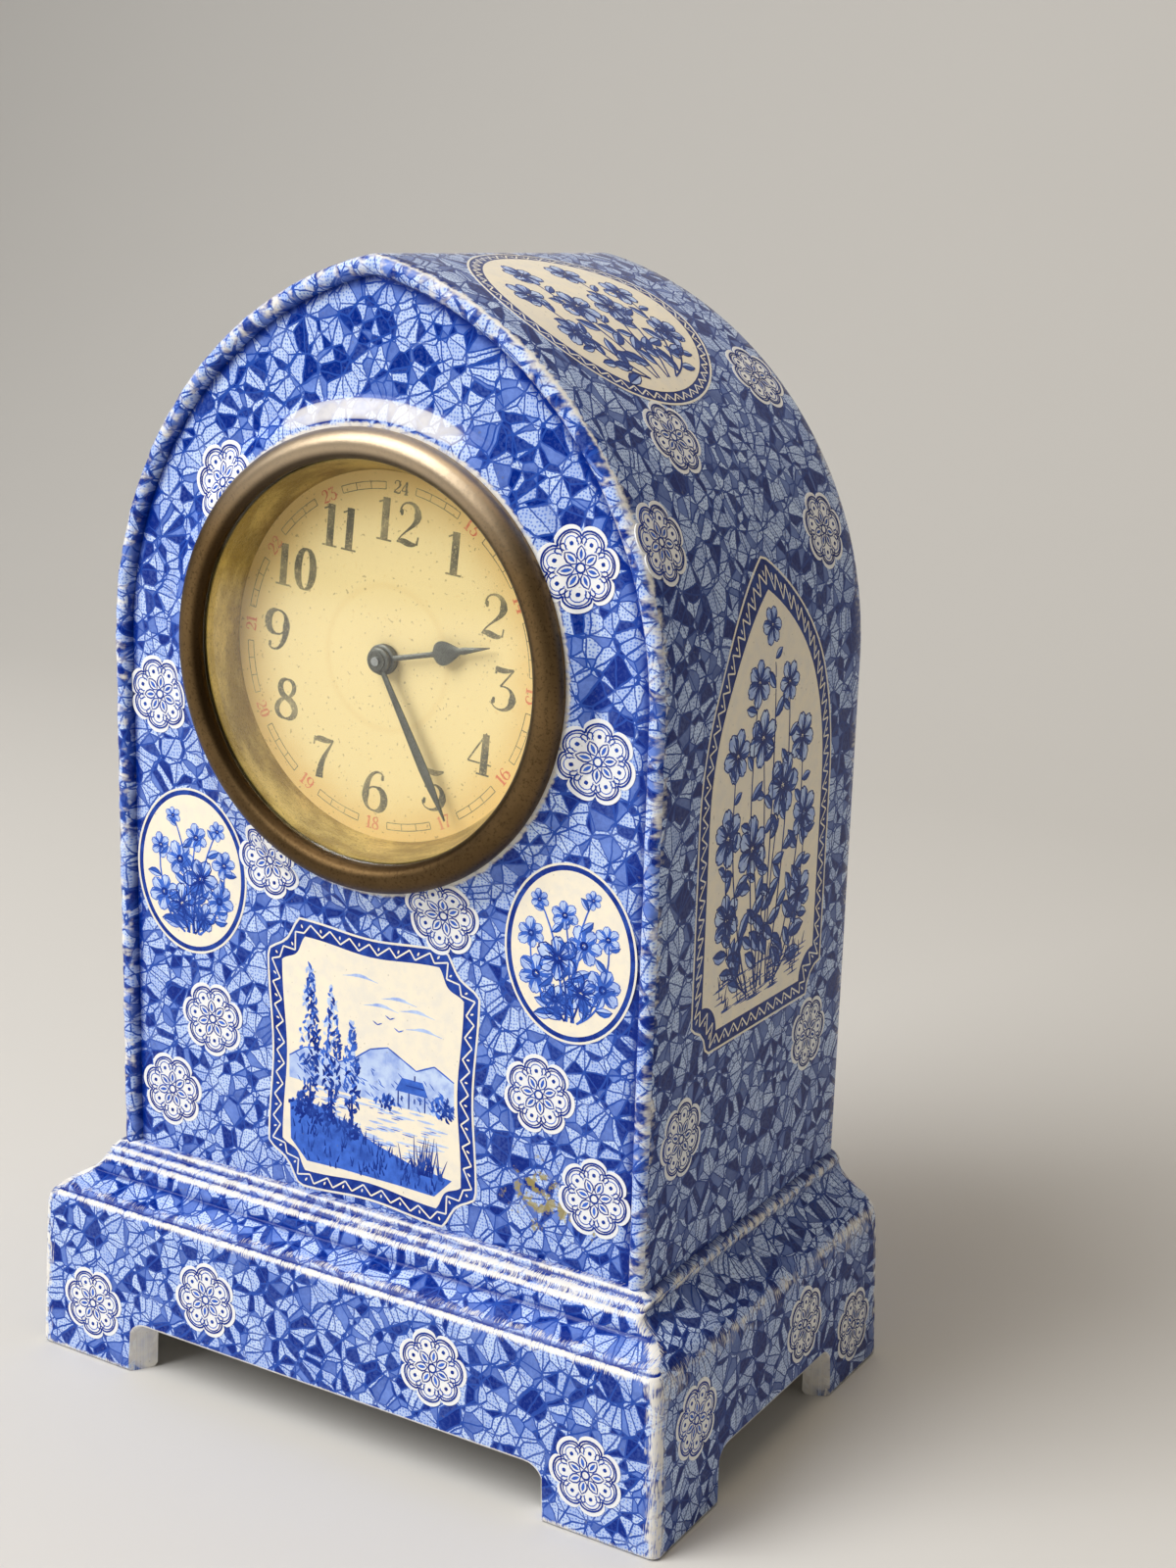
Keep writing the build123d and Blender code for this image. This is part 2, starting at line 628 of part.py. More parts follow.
with BuildPart() as balance_pivot_screws:
    disc(BALANCE, BALANCE_SCREW_R, -25.0, -21.4)
    disc(BALANCE, 0.4 + RUN, -22.7, -20, mode=Mode.SUBTRACT)
    disc(BALANCE, BALANCE_SCREW_R, -2.6, 1.6)
    disc(BALANCE, 0.4 + RUN, -4, -1.3, mode=Mode.SUBTRACT)
save(balance_pivot_screws, "balance_pivot_screws")

with BuildPart() as regulator_lever:
    disc(BALANCE, 3.6, 0.1, 0.9)
    outline([between(BALANCE, (BALANCE[0], 99.0), a, b) for a, b in
             ((0, -1.3), (9.6, -0.8), (9.6, 0.8), (0, 1.3))], 0.1, 0.9)
    disc(BALANCE, BALANCE_SCREW_R + RUN, -4, 4, mode=Mode.SUBTRACT)
    outline([between(BALANCE, (BALANCE[0], 99.0), a, b) for a, b in
             ((8.8, -0.8), (9.6, -0.8), (9.6, 0.8), (8.8, 0.8))], 0.9, 15.5)
    disc((BALANCE[0] + 0.3, BALANCE[1] + CURB_R - 0.75), 0.25, -9.9, 0.1)
    disc((BALANCE[0] + 0.3, BALANCE[1] + CURB_R + 0.75), 0.25, -9.9, 0.1)
save(regulator_lever, "regulator_lever")

# Drum, back cover and what holds the movement in the case

with BuildPart() as movement_drum:
    disc(CENTRE, DRUM_R, DIAL_Y, DRUM_BACK_Y)
    disc(CENTRE, 45.55, DIAL_Y, -33.4)
    disc(CENTRE, DRUM_R - DRUM_T, -40, 20, mode=Mode.SUBTRACT)
save(movement_drum, "movement_drum")

BOLT_X = 44.7

with BuildPart() as drum_lugs:
    for side in (-1, 1):
        outline(((side * 42.0, -3), (side * 46.4, -3), (side * 46.4, 3), (side * 42.0, 3)), -32.0, -26.0)
    disc(CENTRE, DRUM_R, -40, 20, mode=Mode.SUBTRACT)
    for side in (-1, 1):
        disc((side * BOLT_X, 0), 1.0, -40, 0, mode=Mode.SUBTRACT)
save(drum_lugs, "drum_lugs")

with BuildPart() as back_cover:
    disc(CENTRE, DRUM_R, DRUM_BACK_Y, DRUM_BACK_Y + DRUM_T)
    disc(CENTRE, 2.4, 0, 20, mode=Mode.SUBTRACT)
    disc(GREAT, 2.8, 0, 20, mode=Mode.SUBTRACT)
    arc_slot(BALANCE, 9.2, 3.0, 90.0, 58.0, 0, 20)
save(back_cover, "back_cover")

with BuildPart() as cover_screws:
    for turn in POST_ANGLES:
        disc(polar(POST_R, turn), 2.2, DRUM_BACK_Y + DRUM_T, DRUM_BACK_Y + DRUM_T + 1.3)
        x, z = polar(POST_R, turn)
        with BuildSketch(at_y(DRUM_BACK_Y + DRUM_T + 2)):
            with Locations((x, DIAL_Z + z)):
                Rectangle(5, 0.6)
        extrude(amount=1.3, mode=Mode.SUBTRACT)
save(cover_screws, "cover_screws")

with BuildPart() as setting_knob:
    disc(CENTRE, 6.5, 15.0, 20.0)
    with BuildSketch(at_y(20)):
        with Locations((0, DIAL_Z)):
            with PolarLocations(6.7, 24):
                Circle(0.45)
    extrude(amount=5, mode=Mode.SUBTRACT)
    disc(CENTRE, 2.8, 13.4, 15.0)
    disc(CENTRE, 1.6, 0, 17.0, mode=Mode.SUBTRACT)
save(setting_knob, "setting_knob")

with BuildPart() as winding_key:
    disc(GREAT, 3.0, 13.6, 23.0)
    disc(GREAT, 1.8, 0, 15.0, mode=Mode.SUBTRACT)
    # butterfly bow, a flat plate with two wings
    with BuildSketch(Plane.XY.offset(DIAL_Z + GREAT[1] - 0.9)):
        with BuildLine():
            Line((GREAT[0] - 2.4, 23.0), (GREAT[0] + 2.4, 23.0))
            ThreePointArc((GREAT[0] + 2.4, 23.0), (GREAT[0] + 10.5, 27.5), (GREAT[0] + 3.0, 33.0))
            Line((GREAT[0] + 3.0, 33.0), (GREAT[0] - 3.0, 33.0))
            ThreePointArc((GREAT[0] - 3.0, 33.0), (GREAT[0] - 10.5, 27.5), (GREAT[0] - 2.4, 23.0))
        make_face()
    extrude(amount=1.8)
save(winding_key, "winding_key")

with BuildPart() as rear_ring:
    disc(CENTRE, 50.4, SEAT_Y, SEAT_Y + 1.2)
    disc(CENTRE, 46.5, 50.5, SEAT_Y)
    disc(CENTRE, 45.9, 40, SEAT_Y, mode=Mode.SUBTRACT)
    disc(CENTRE, 40.0, 40, 60, mode=Mode.SUBTRACT)
    for side in (-1, 1):
        disc((side * BOLT_X, 0), 1.0, 40, 60, mode=Mode.SUBTRACT)
save(rear_ring, "rear_ring")

with BuildPart() as fixing_bolts:
    for side in (-1, 1):
        disc((side * BOLT_X, 0), 1.0, -31.5, SEAT_Y + 1.2)
        disc((side * BOLT_X, 0), 2.2, SEAT_Y + 1.2, SEAT_Y + 2.5)
        with BuildSketch(at_y(SEAT_Y + 3)):
            with Locations((side * BOLT_X, DIAL_Z)):
                Rectangle(5, 0.6)
        extrude(amount=1.1, mode=Mode.SUBTRACT)
save(fixing_bolts, "fixing_bolts")
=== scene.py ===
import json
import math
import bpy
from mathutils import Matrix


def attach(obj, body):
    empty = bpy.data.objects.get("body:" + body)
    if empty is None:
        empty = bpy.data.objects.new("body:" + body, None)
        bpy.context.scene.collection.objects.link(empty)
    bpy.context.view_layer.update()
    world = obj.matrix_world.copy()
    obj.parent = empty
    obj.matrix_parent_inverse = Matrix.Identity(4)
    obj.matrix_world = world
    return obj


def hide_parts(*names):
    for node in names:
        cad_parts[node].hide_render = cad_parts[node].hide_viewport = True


bl_info = {
    "name": "Beehive shelf clock",
    "version": (1, 0, 0),
    "blender": (4, 5, 0),
    "location": "View3D > Sidebar > Clock",
    "description": "Dresses the solids of a blue printed earthenware shelf clock",
    "category": "Object",
}

import bpy
import numpy as np
from mathutils import Matrix, Vector

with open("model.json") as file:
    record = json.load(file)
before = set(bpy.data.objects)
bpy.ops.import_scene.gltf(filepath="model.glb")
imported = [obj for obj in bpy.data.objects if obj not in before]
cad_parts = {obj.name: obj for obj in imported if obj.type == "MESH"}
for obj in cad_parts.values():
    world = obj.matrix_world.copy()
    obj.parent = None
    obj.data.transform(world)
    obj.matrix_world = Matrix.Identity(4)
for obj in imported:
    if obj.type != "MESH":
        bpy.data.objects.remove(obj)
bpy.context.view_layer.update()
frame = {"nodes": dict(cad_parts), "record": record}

MM = 0.001
TAU = 2 * math.pi

# Sizes of the case, in millimetres, as the solids have them.
BODY_HALF = 75.0
SPRING_Z = 180.0
ARCH_OFF = 18.9
ARCH_R = 93.9
# The crest's slope near its point, how far it is rounded, and the height above which it is.
CREST_SLOPE, CREST_ROUND, CREST_FROM = 0.205, 0.3, 215
# How far forward the rim may wander, the opening for the dial, and the radius at which the bezel hides the print.
RIM_LIMIT = -42.25
OPENING_R = 46.8
UNDER_BEZEL = 48.5
# The glass: its radius, the rise of its dome, and the depths of its inner and outer face at the edge.
GLASS_R, GLASS_RISE, GLASS_EDGE = 45.4, 3.2, (-42.6, -44.2)
# Where the hands stand at rest, clockwise from twelve.
HOUR_ANGLE, MINUTE_ANGLE = math.radians(78.0), math.radians(151.4)
# The body's foot, and the plinth's half depth at its foot and lean.
BODY_FOOT = 53.0
PLINTH_DEEP = 57.5
PLINTH_LEAN = 0.0296
# Half length of a side of the plinth between its corners, where its feet end, and points between them.
PLINTH_FRONT_RUN = (87.3, 60.5, 90)
PLINTH_END_RUN = (55.3, 29.5, 60)
# Height up to which the foot gaps draw the plinth's points up, and points in a rounded corner.
GAP_TOP = 30
CORNER_POINTS = 7
DIAL_Z = 183.5
DIAL_Y = -34.35
PAPER_TURN = math.radians(5.3)

# The print's map: units for a millimetre, where the body's sides and the plinth's faces lie across it, and the steps
# between fronts and sides.
PRINT_UNIT = 0.01
MAP_SIDES = (3.1, 41.7)
MAP_PLINTH = (8.3, 15.9, 24.1, 31.7)
MAP_STEPS = (2, 6, 12, 20, 28)


def shade(r, g, b):
    """Linear colour of a display colour given in 0 to 255."""
    c = np.array((r, g, b)) / 255
    c = np.where(c <= 0.04045, c / 12.92, ((c + 0.055) / 1.055) ** 2.4)
    return tuple(float(v) for v in c)


# The dark cobalt toward which the sides' print is darkened: painted shade, with a deeper print.
SIDE_SHADE_COBALT = shade(0, 12, 48)


def dim(tone, by):
    """A colour made darker, or brighter where the factor is over one."""
    return tuple(np.array(tone) * by)


def colour(name, words, rgb):
    """A colour setting."""
    return bpy.props.FloatVectorProperty(
        name=name, description=words, subtype="COLOR", size=3, min=0, max=1, default=shade(*rgb)
    )


def length(name, words, mm):
    """A length setting, shown in the scene's units."""
    return bpy.props.FloatProperty(
        name=name, description=words, unit="LENGTH", subtype="DISTANCE", default=mm * MM, precision=5
    )


def amount(name, words, default, **limits):
    """A setting that is a plain number."""
    return bpy.props.FloatProperty(name=name, description=words, default=default, **limits)


# ------------------------------------------------------------------ settings


class GlazeSettings(bpy.types.PropertyGroup):
    """The blue print and the glaze of the case."""

    dark: colour("Dark cobalt", "Lines and the darkest facets of the print", (0, 38, 134))
    mid: colour("Mid cobalt", "Half-tone facets of the print", (68, 116, 220))
    pale: colour("Pale cobalt", "Stippled facets of the print", (206, 224, 253))
    ivory: colour("Ivory", "Glaze inside medallions and reserves", (255, 244, 220))
    # Also the colour of painted highlights: the line on the rim's right edge and the crescent on the collar's top.
    bare: colour("Bare glaze and sheen", "Where the print is rubbed off beads and corners, and painted highlights on the rim's edge and the collar's top", (244, 240, 230))
    facet: length("Facet size", "Width of one cluster of facets of the cracked-ice print", 4.8)
    gloss: amount("Roughness", "Roughness of the glaze", 0.14, subtype="FACTOR", min=0, max=1)
    # Painted shade: how far the cobalt on the sides is darkened as if out of the light, with a deeper print there.
    deep: amount("Painted side shade", "How much the cobalt on the sides is darkened: painted shade, with a deeper print there", 0.42, subtype="FACTOR", min=0, max=1)
    rope: length("Rim waviness", "How far the moulded rim wanders", 0.22)


class DialSettings(bpy.types.PropertyGroup):
    """The printed paper behind the glass."""

    paper: colour("Paper", "Middle of the dial paper", (255, 229, 166))
    foxed: colour("Foxed paper", "Stained paper near the edge", (233, 190, 110))
    ink: colour("Numeral ink", "Worn dark ink of 1 to 12", (92, 86, 68))
    red: colour("Red ink", "Faded ink of 13 to 23", (224, 122, 84))
    numeral: length("Numeral height", "Height of 1 to 12", 9.6)
    small: length("Small numeral height", "Height of 13 to 24", 2.9)
    ring: length("Numeral circle", "Radius on which 1 to 12 stand", 31.0)
    track: length("Track circle", "Radius of the minute track", 38.5)


class MetalSettings(bpy.types.PropertyGroup):
    """Brass, steel and tin."""

    bronze: colour("Aged brass", "Bezel and rear ring", (116, 93, 62))
    gold: colour("Rubbed brass", "Where the brass is rubbed bright", (196, 150, 82))
    olive: colour("Sight ring brass", "Stained brass behind the glass", (158, 138, 78))
    hands: colour("Hand steel", "Dull steel of the hands", (84, 84, 78))
    brass: colour("Movement brass", "Plates and wheels", (206, 168, 96))
    steel: colour("Movement steel", "Arbors, screws and springs", (158, 160, 162))
    tin: colour("Tinplate", "Drum and back cover", (164, 164, 156))


class StageSettings(bpy.types.PropertyGroup):
    """Floor, lamps and camera."""

    floor: colour("Floor", "Pale floor and backdrop", (214, 212, 208))
    key: amount("Key lamp", "Power of the soft lamp at the front left", 41.0, unit="POWER")
    fill: amount("Fill lamp", "Power of the soft lamp at the right", 0.6, unit="POWER")
    top: amount("Top lamp", "Power of the soft lamp overhead", 6.0, unit="POWER")
    sky: amount("Room light", "Strength of the even light of the room", 0.15)
    lens: amount("Lens", "Focal length of the camera", 52.86, unit="CAMERA")


# -------------------------------------------------------------------- meshes


class Skin:
    """Closed grids of points, in millimetres, gathered into one mesh."""

    def __init__(self):
        self.points, self.quads, self.caps, self.count = [], [], [], 0
        self.marks, self.maps = [], []

    def add(self, grid, loop_rows=False, marks=None, maps=None, pick=None):
        """Joins neighbours of a (rows, columns, 3) grid by quads. Columns run round a loop; rows run round one too, or
        are closed by a face at each end. Faces turn outwards by the sign of the volume."""
        rows, cols = grid.shape[:2]
        r, c = np.meshgrid(np.arange(rows if loop_rows else rows - 1), np.arange(cols), indexing="ij")
        r2, c2 = (r + 1) % rows, (c + 1) % cols
        quad_r = np.stack((r, r, r2, r2), -1).reshape(-1, 4)
        quad_c = np.stack((c, c2, c2, c), -1).reshape(-1, 4)
        caps = [] if loop_rows else [np.arange(cols)[::-1], (rows - 1) * cols + np.arange(cols)]
        points = grid.reshape(-1, 3)
        quads = quad_r * cols + quad_c
        flip = volume(points, quads, caps) < 0
        if flip:
            quad_r, quad_c, quads = quad_r[:, ::-1], quad_c[:, ::-1], quads[:, ::-1]
            caps = [cap[::-1] for cap in caps]
        self._keep(points, quads, caps, marks)
        if maps is not None:
            chosen = np.broadcast_to(pick, r.shape).reshape(-1, 1)
            self.maps.append(maps[chosen, quad_r, quad_c].reshape(-1, 2))

    def add_tubes(self, grid):
        """Many small closed tubes at once, from a (tubes, rows, 4, 3) grid."""
        n, rows, k = grid.shape[:3]
        t, r, c = np.meshgrid(np.arange(n), np.arange(rows - 1), np.arange(k), indexing="ij")
        c2 = (c + 1) % k
        base = t * rows * k
        quads = np.stack(
            (base + r * k + c, base + r * k + c2, base + (r + 1) * k + c2, base + (r + 1) * k + c), -1
        ).reshape(-1, 4)
        first = (np.arange(n) * rows * k)[:, None] + np.arange(k)[::-1]
        last = (np.arange(n) * rows * k + (rows - 1) * k)[:, None] + np.arange(k)
        quads = np.concatenate((quads, first, last))
        points = grid.reshape(-1, 3)
        if volume(points, quads, []) < 0:
            quads = quads[:, ::-1]
        self._keep(points, quads, [], None)

    def _keep(self, points, quads, caps, marks):
        self.points.append(points)
        self.quads.append(quads + self.count)
        self.caps += [(cap + self.count).tolist() for cap in caps]
        self.marks.append(marks if marks is not None else np.zeros((len(points), 3)))
        self.count += len(points)

    def mesh(self, name, sharp=35):
        """The gathered grids as a Blender mesh, smooth but for edges sharper than the angle."""
        data = bpy.data.meshes.new(name)
        data.from_pydata(
            (np.concatenate(self.points) * MM).tolist(), [], np.concatenate(self.quads).tolist() + self.caps
        )
        data.polygons.foreach_set("use_smooth", np.ones(len(data.polygons), bool))
        data.set_sharp_from_angle(angle=math.radians(sharp))
        marks = np.concatenate(self.marks)
        if marks.any():
            # The marks hold real wear and bare glaze, and also painted highlights: a line on the rim's right edge and a
            # crescent on the collar's top.
            for k, kind in enumerate(("wear_and_sheen", "pool", "bare")):
                data.attributes.new(kind, "FLOAT", "POINT").data.foreach_set(
                    "value", np.ascontiguousarray(marks[:, k], np.float32)
                )
        if self.maps:
            uv = np.zeros((len(data.loops), 2), np.float32)
            flat = np.concatenate(self.maps)
            uv[: len(flat)] = flat
            data.uv_layers.new(name="print").data.foreach_set("uv", uv.ravel())
        data.update()
        return data


def volume(points, quads, caps):
    """Signed volume of closed faces: the sum of corner products of their triangles."""
    tris = np.concatenate(
        [quads[:, [0, 1, 2]], quads[:, [0, 2, 3]]] + [
            np.stack((np.full(len(c) - 2, c[0]), c[1:-1], c[2:]), -1) for c in caps
        ]
    )
    a, b, c = points[tris[:, 0]], points[tris[:, 1]], points[tris[:, 2]]
    return float(np.einsum("ij,ij->i", a, np.cross(b, c)).sum())


def piece(name, skin, material, body, replaces=(), sharp=35):
    """Puts a skin into the scene as a piece that rides on a body."""
    data = skin.mesh(name, sharp)
    data.materials.append(material)
    obj = bpy.data.objects.new(name, data)
    bpy.context.scene.collection.objects.link(obj)
    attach(obj, body)
    if replaces:
        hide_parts(*replaces)
    return obj


def dress(node, material):
    """Gives a solid of the frame one material."""
    mesh = frame["nodes"][node].data
    mesh.materials.clear()
    mesh.materials.append(material)


def turned(profile, steps=180, z=DIAL_Z):
    """A (radius, depth) profile carried round the axis of the dial."""
    profile = np.asarray(profile, float)
    angle = np.arange(steps) * TAU / steps
    r = profile[:, :1]
    return np.stack((r * np.sin(angle), profile[:, 1:2] + 0 * angle, z + r * np.cos(angle)), -1)


def arc(start, through, end, steps=8):
    """Points of the circle through three points of a profile, the first one left out."""
    (ax, ay), (bx, by), (cx, cy) = start, through, end
    d = 2 * (ax * (by - cy) + bx * (cy - ay) + cx * (ay - by))
    ux = ((ax**2 + ay**2) * (by - cy) + (bx**2 + by**2) * (cy - ay) + (cx**2 + cy**2) * (ay - by)) / d
    uy = ((ax**2 + ay**2) * (cx - bx) + (bx**2 + by**2) * (ax - cx) + (cx**2 + cy**2) * (bx - ax)) / d
    a = [math.atan2(y - uy, x - ux) for x, y in (start, through, end)]
    a = np.unwrap(a)
    turn = np.linspace(a[0], a[2], steps + 1)[1:]
    r = math.hypot(ax - ux, ay - uy)
    return np.stack((ux + r * np.cos(turn), uy + r * np.sin(turn)), -1)


# ------------------------------------------------------------ shape of the case


def lancet(inset, low, straight=90, arch=84):
    """The body's outline drawn in by the inset: up the left side, over the pointed arch of two circles and down the
    right. Gives x, z and the length along the outline, each (path, insets)."""
    inset = np.atleast_1d(np.asarray(inset, float))
    low = np.broadcast_to(low, inset.shape)
    t = np.linspace(0, 1, straight, endpoint=False)[:, None]
    radius = ARCH_R - inset
    theta = np.linspace(0, 1, arch + 1)[:, None] * np.arccos(ARCH_OFF / radius)
    up = low + (SPRING_Z - low) * t
    x = np.concatenate((0 * up - (BODY_HALF - inset), ARCH_OFF - radius * np.cos(theta)))
    z = np.concatenate((up, SPRING_Z + radius * np.sin(theta)))
    s = np.concatenate((up, SPRING_Z + ARCH_R * theta))
    fall = CREST_SLOPE * np.abs(x)
    z = z - (np.hypot(fall, CREST_ROUND) - fall) * (z > CREST_FROM)
    return tuple(np.concatenate((side, sign * side[-2::-1])) for side, sign in ((x, -1), (z, 1), (s, 1)))


# Inset, depth, wear with painted sheen, pool, bare glaze with painted sheen of the wall and its front rim, once round.
RIM_PROFILE = np.array(
    [
        (12, 55.75, 0, 0, 0), (8, 55.9, 0, 0, 0), (3.6, 56, 0.1, 0, 0), (2.2, 55.95, 0.3, 0, 0), (1.1, 55.6, 0.8, 0, 0),
        (0.35, 54.9, 0.8, 0, 0), (0, 53.8, 0.3, 0, 0), (0, 50, 0, 0, 0), (0, 30, 0, 0, 0), (0, 10, 0, 0, 0),
        (0, -10, 0, 0, 0),
        (0, -26, 0, 0, 0), (0, -36, 0, 0, 0), (0, -38.4, 0.1, 0, 0), (0.06, -39.7, 0.35, 0, 0),
        (0.32, -40.65, 0.6, 0, 0),
        (0.75, -41.35, 0.62, 0, 0), (1.4, -41.8, 0.4, 0, 0), (2.2, -42, 0.22, 0, 0), (3.0, -41.9, 0.25, 0, 0),
        (3.6, -41.55, 0.4, 0, 0),
        (4.05, -41.0, 0.2, 0.2, 0), (4.3, -40.4, 0, 0.8, 0), (4.45, -39.6, 0, 1, 0), (4.8, -38, 0, 1, 0),
        (5.2, -36, 0, 0, 0.5),
        (6, -34, 0, 0, 1), (6, -10, 0, 0, 1), (6, 20, 0, 0, 1), (6, 50, 0, 0, 1), (12, 50.2, 0, 0, 1),
    ]
)


def wall_and_rim(skin, rope):
    """The wall's closed profile carried along the lancet; the rim's front wanders by a few sines of the length along
    it."""
    n, y = RIM_PROFILE[:, 0], RIM_PROFILE[:, 1]
    x, z, s = lancet(n, 47.0, 150, 140)
    path = np.arange(len(x))
    right = (path > len(x) // 2)[:, None]
    wander = np.sin(s / 1.31) * 0.5 + np.sin(s / 0.83 + 1.3 * right) * 0.3 + np.sin(s / 2.9 + 2.1 * right) * 0.6
    lip = np.clip((-38.9 - y) / 3, 0, 1) * np.clip((4.6 - n) / 1.5, 0, 1)
    deep = np.maximum(y + wander * lip * rope, RIM_LIMIT)
    grid = np.stack((x, deep, z), -1)
    # Marks: blots in the groove, stripes on the bead, a painted highlight put in as wear along the outer edge on the
    # right of the arch, and a rubbed crest.
    marks = np.broadcast_to(RIM_PROFILE[:, 2:], (len(x), len(n), 3)).copy()
    blot = np.sin(s / 3.1 + 1.9 * np.sin(s / 17.0 + right)) + 0.7 * np.sin(s / 1.3 + 2 * right)
    groove = np.clip((n - 3.4) / 0.8, 0, 1) * (y < -39)
    marks[..., 1] = np.maximum(
        marks[..., 1] * np.clip(0.75 + 0.35 * blot, 0.3, 1), 0.9 * groove * np.clip(0.4 + 0.6 * blot, 0, 1)
    )
    marks[..., 0] *= np.clip(0.66 + 0.3 * np.sin(s / 5.3 + 3 * right), 0.3, 0.9)
    stripe = np.sin(s / 0.62 + 2.4 * np.sin(s / 8.3 + right)) + 0.6 * np.sin(s / 2.3 + right)
    bead = np.clip((n - 0.5) / 0.6, 0, 1) * np.clip((3.9 - n) / 0.5, 0, 1) * (y < -40.5)
    marks[..., 0] = np.clip(marks[..., 0] + bead * (0.5 - 0.24 * right) * np.clip(stripe, -0.7, 0.9), 0, 1)
    # Painted highlight: a bright line along the rim's outer edge on the right of the arch, carried in the wear mark.
    glint = (np.abs(n - 0.32) < 0.01) * (y < -40) * right * np.clip((z - 190) / 25, 0, 1)
    marks[..., 0] = np.maximum(marks[..., 0], 1.05 * glint)
    near = np.exp(-((x / 2.2) ** 2))
    marks[..., 0] = np.maximum(marks[..., 0], 0.55 * near * (y < 54) * (n < 0.1))
    depth = PRINT_UNIT * np.broadcast_to(y, s.shape)
    side_r = np.stack((depth + MAP_SIDES[0], PRINT_UNIT * s), -1)
    side_l = np.stack((depth + MAP_SIDES[1], PRINT_UNIT * s + 5.3), -1)
    front = np.stack((PRINT_UNIT * x, PRINT_UNIT * z), -1)
    rows = np.arange(len(x) - 1)[:, None]
    is_side = ((n < 0.33) & (np.roll(n, -1) < 0.33))[None, :]
    pick = np.where(is_side, np.where(rows >= len(x) // 2, 0, 1), 2)
    skin.add(grid, marks=marks.reshape(-1, 3), maps=np.stack((side_r, side_l, front)), pick=pick)


def body_loop(inset, low, straight=58, arch=60, foot=70):
    """The lancet with its foot closed by a straight line: x and z, each (path, insets)."""
    x, z, _ = lancet(inset, low, straight, arch)
    t = np.linspace(0, 1, foot + 2)[1:-1, None]
    return np.concatenate((x, x[-1] + (x[0] - x[-1]) * t)), np.concatenate((z, z[-1] + (z[0] - z[-1]) * t))


def plate_with_hole(loops, rings, blend):
    """A plate between the lancet and a round hole about the dial's axis. Loops are (inset, foot, depth) rows, rings are
    (radius, depth) rows along the ray from the dial's centre, and blend rows lie between the last loop and the first
    ring."""
    loops = np.asarray(loops, float)
    x, z = body_loop(loops[:, 0], loops[:, 1])
    y = np.broadcast_to(loops[:, 2], x.shape)
    turn = np.arctan2(x[:, -1], z[:, -1] - DIAL_Z)
    rings = np.asarray(rings, float)
    rx, rz = rings[:, 0] * np.sin(turn)[:, None], DIAL_Z + rings[:, 0] * np.cos(turn)[:, None]
    ry = np.broadcast_to(rings[:, 1], rx.shape)
    t = np.linspace(0, 1, blend + 2)[1:-1]
    mid = [a[:, -1:] + (b[:, :1] - a[:, -1:]) * t for a, b in ((x, rx), (y, ry), (z, rz))]
    return np.stack([np.concatenate((a, m, b), 1) for a, m, b in zip((x, y, z), mid, (rx, ry, rz))], -1)


def plate(skin, loops, rings, inner_y, inner_inset, blend=10):
    """Closes a holed plate with its inner face, and marks loops and rings with their values of wear with painted sheen,
    pool, and bare glaze with painted sheen.
    """
    loops, rings = np.asarray(loops, float), np.asarray(rings, float)
    front = plate_with_hole(loops[:, :3], rings[:, :2], blend)
    x, z = body_loop([inner_inset], [52.0])
    back = np.stack((x, np.full_like(x, inner_y), z), -1)
    near = front[:, -1:].copy()
    near[..., 1] = inner_y
    t = np.linspace(0, 1, 5)[None, :, None]
    grid = np.concatenate((front, near + (back - near) * t[:, 1:]), 1)
    marks = np.concatenate((loops[:, 3:], np.zeros((blend, 3)), rings[:, 2:], np.tile((0.0, 0, 1), (4, 1))))
    marks = np.broadcast_to(marks, grid.shape).copy()
    # Painted highlight with worn print: the collar's bare glaze is kept mostly to its top, where light falls, as a
    # bright crescent.
    top_sheen = np.clip(((front[:, -1:, 2] - DIAL_Z) / OPENING_R - 0.85) / 0.1, 0, 1)
    collar = slice(len(loops), len(loops) + blend + len(rings) - 3)
    marks[:, collar, 2] *= 0.05 + 0.62 * top_sheen
    maps = PRINT_UNIT * grid[..., [0, 2]]
    skin.add(
        grid.transpose(1, 0, 2), loop_rows=True, marks=marks.transpose(1, 0, 2).reshape(-1, 3),
        maps=maps.transpose(1, 0, 2)[None], pick=0
    )


FRONT_LOOPS = [
    # inset, foot, depth, wear with painted sheen, pool, bare glaze with painted sheen
    (3.2, 49.0, -39.2, 0, 1, 0), (4.2, 50.0, -39.5, 0, 1, 0), (4.8, 50.6, -39.62, 0, 1, 0),
    (5.5, 51.3, -39.72, 0, 0.8, 0),
    (6.4, 52.2, -39.9, 0, 0.25, 0), (7.6, 53.0, -40.0, 0, 0, 0), (9.0, 54.0, -40.0, 0, 0, 0),
]
FRONT_RINGS = [
    # radius, depth, wear with painted sheen, pool, bare glaze with painted sheen
    # The collar's swell from 58 to 53 mm carries bare glaze: worn print and a painted highlight, kept to the collar's
    # top by plate().
    (62, -40, 0, 0, 0), (60, -40.02, 0, 0, 0), (58.8, -40.12, 0, 0.2, 0), (58.0, -40.35, 0, 0.15, 0.5),
    (57.0, -40.8, 0, 0, 0.95),
    (56.0, -41.4, 0, 0, 1), (55.0, -41.95, 0, 0, 1), (54.0, -42.35, 0, 0, 0.9), (53.2, -42.52, 0, 0, 0.5),
    (52.7, -42.6, 0.55, 0, 0.3), (52.4, -42.64, 0.95, 0, 0.3), (51, -42.65, 0.95, 0, 0.3),
    (47.4, -42.6, 0, 0, 1), (46.8, -42.2, 0, 0, 1), (46.8, -34.5, 0, 0, 1),
]
BACK_LOOPS = [(5.0, 46.0, 55.8, 0, 0, 0), (8.0, 49.0, 55.85, 0, 0, 0), (13.0, 52.0, 55.8, 0, 0, 0)]
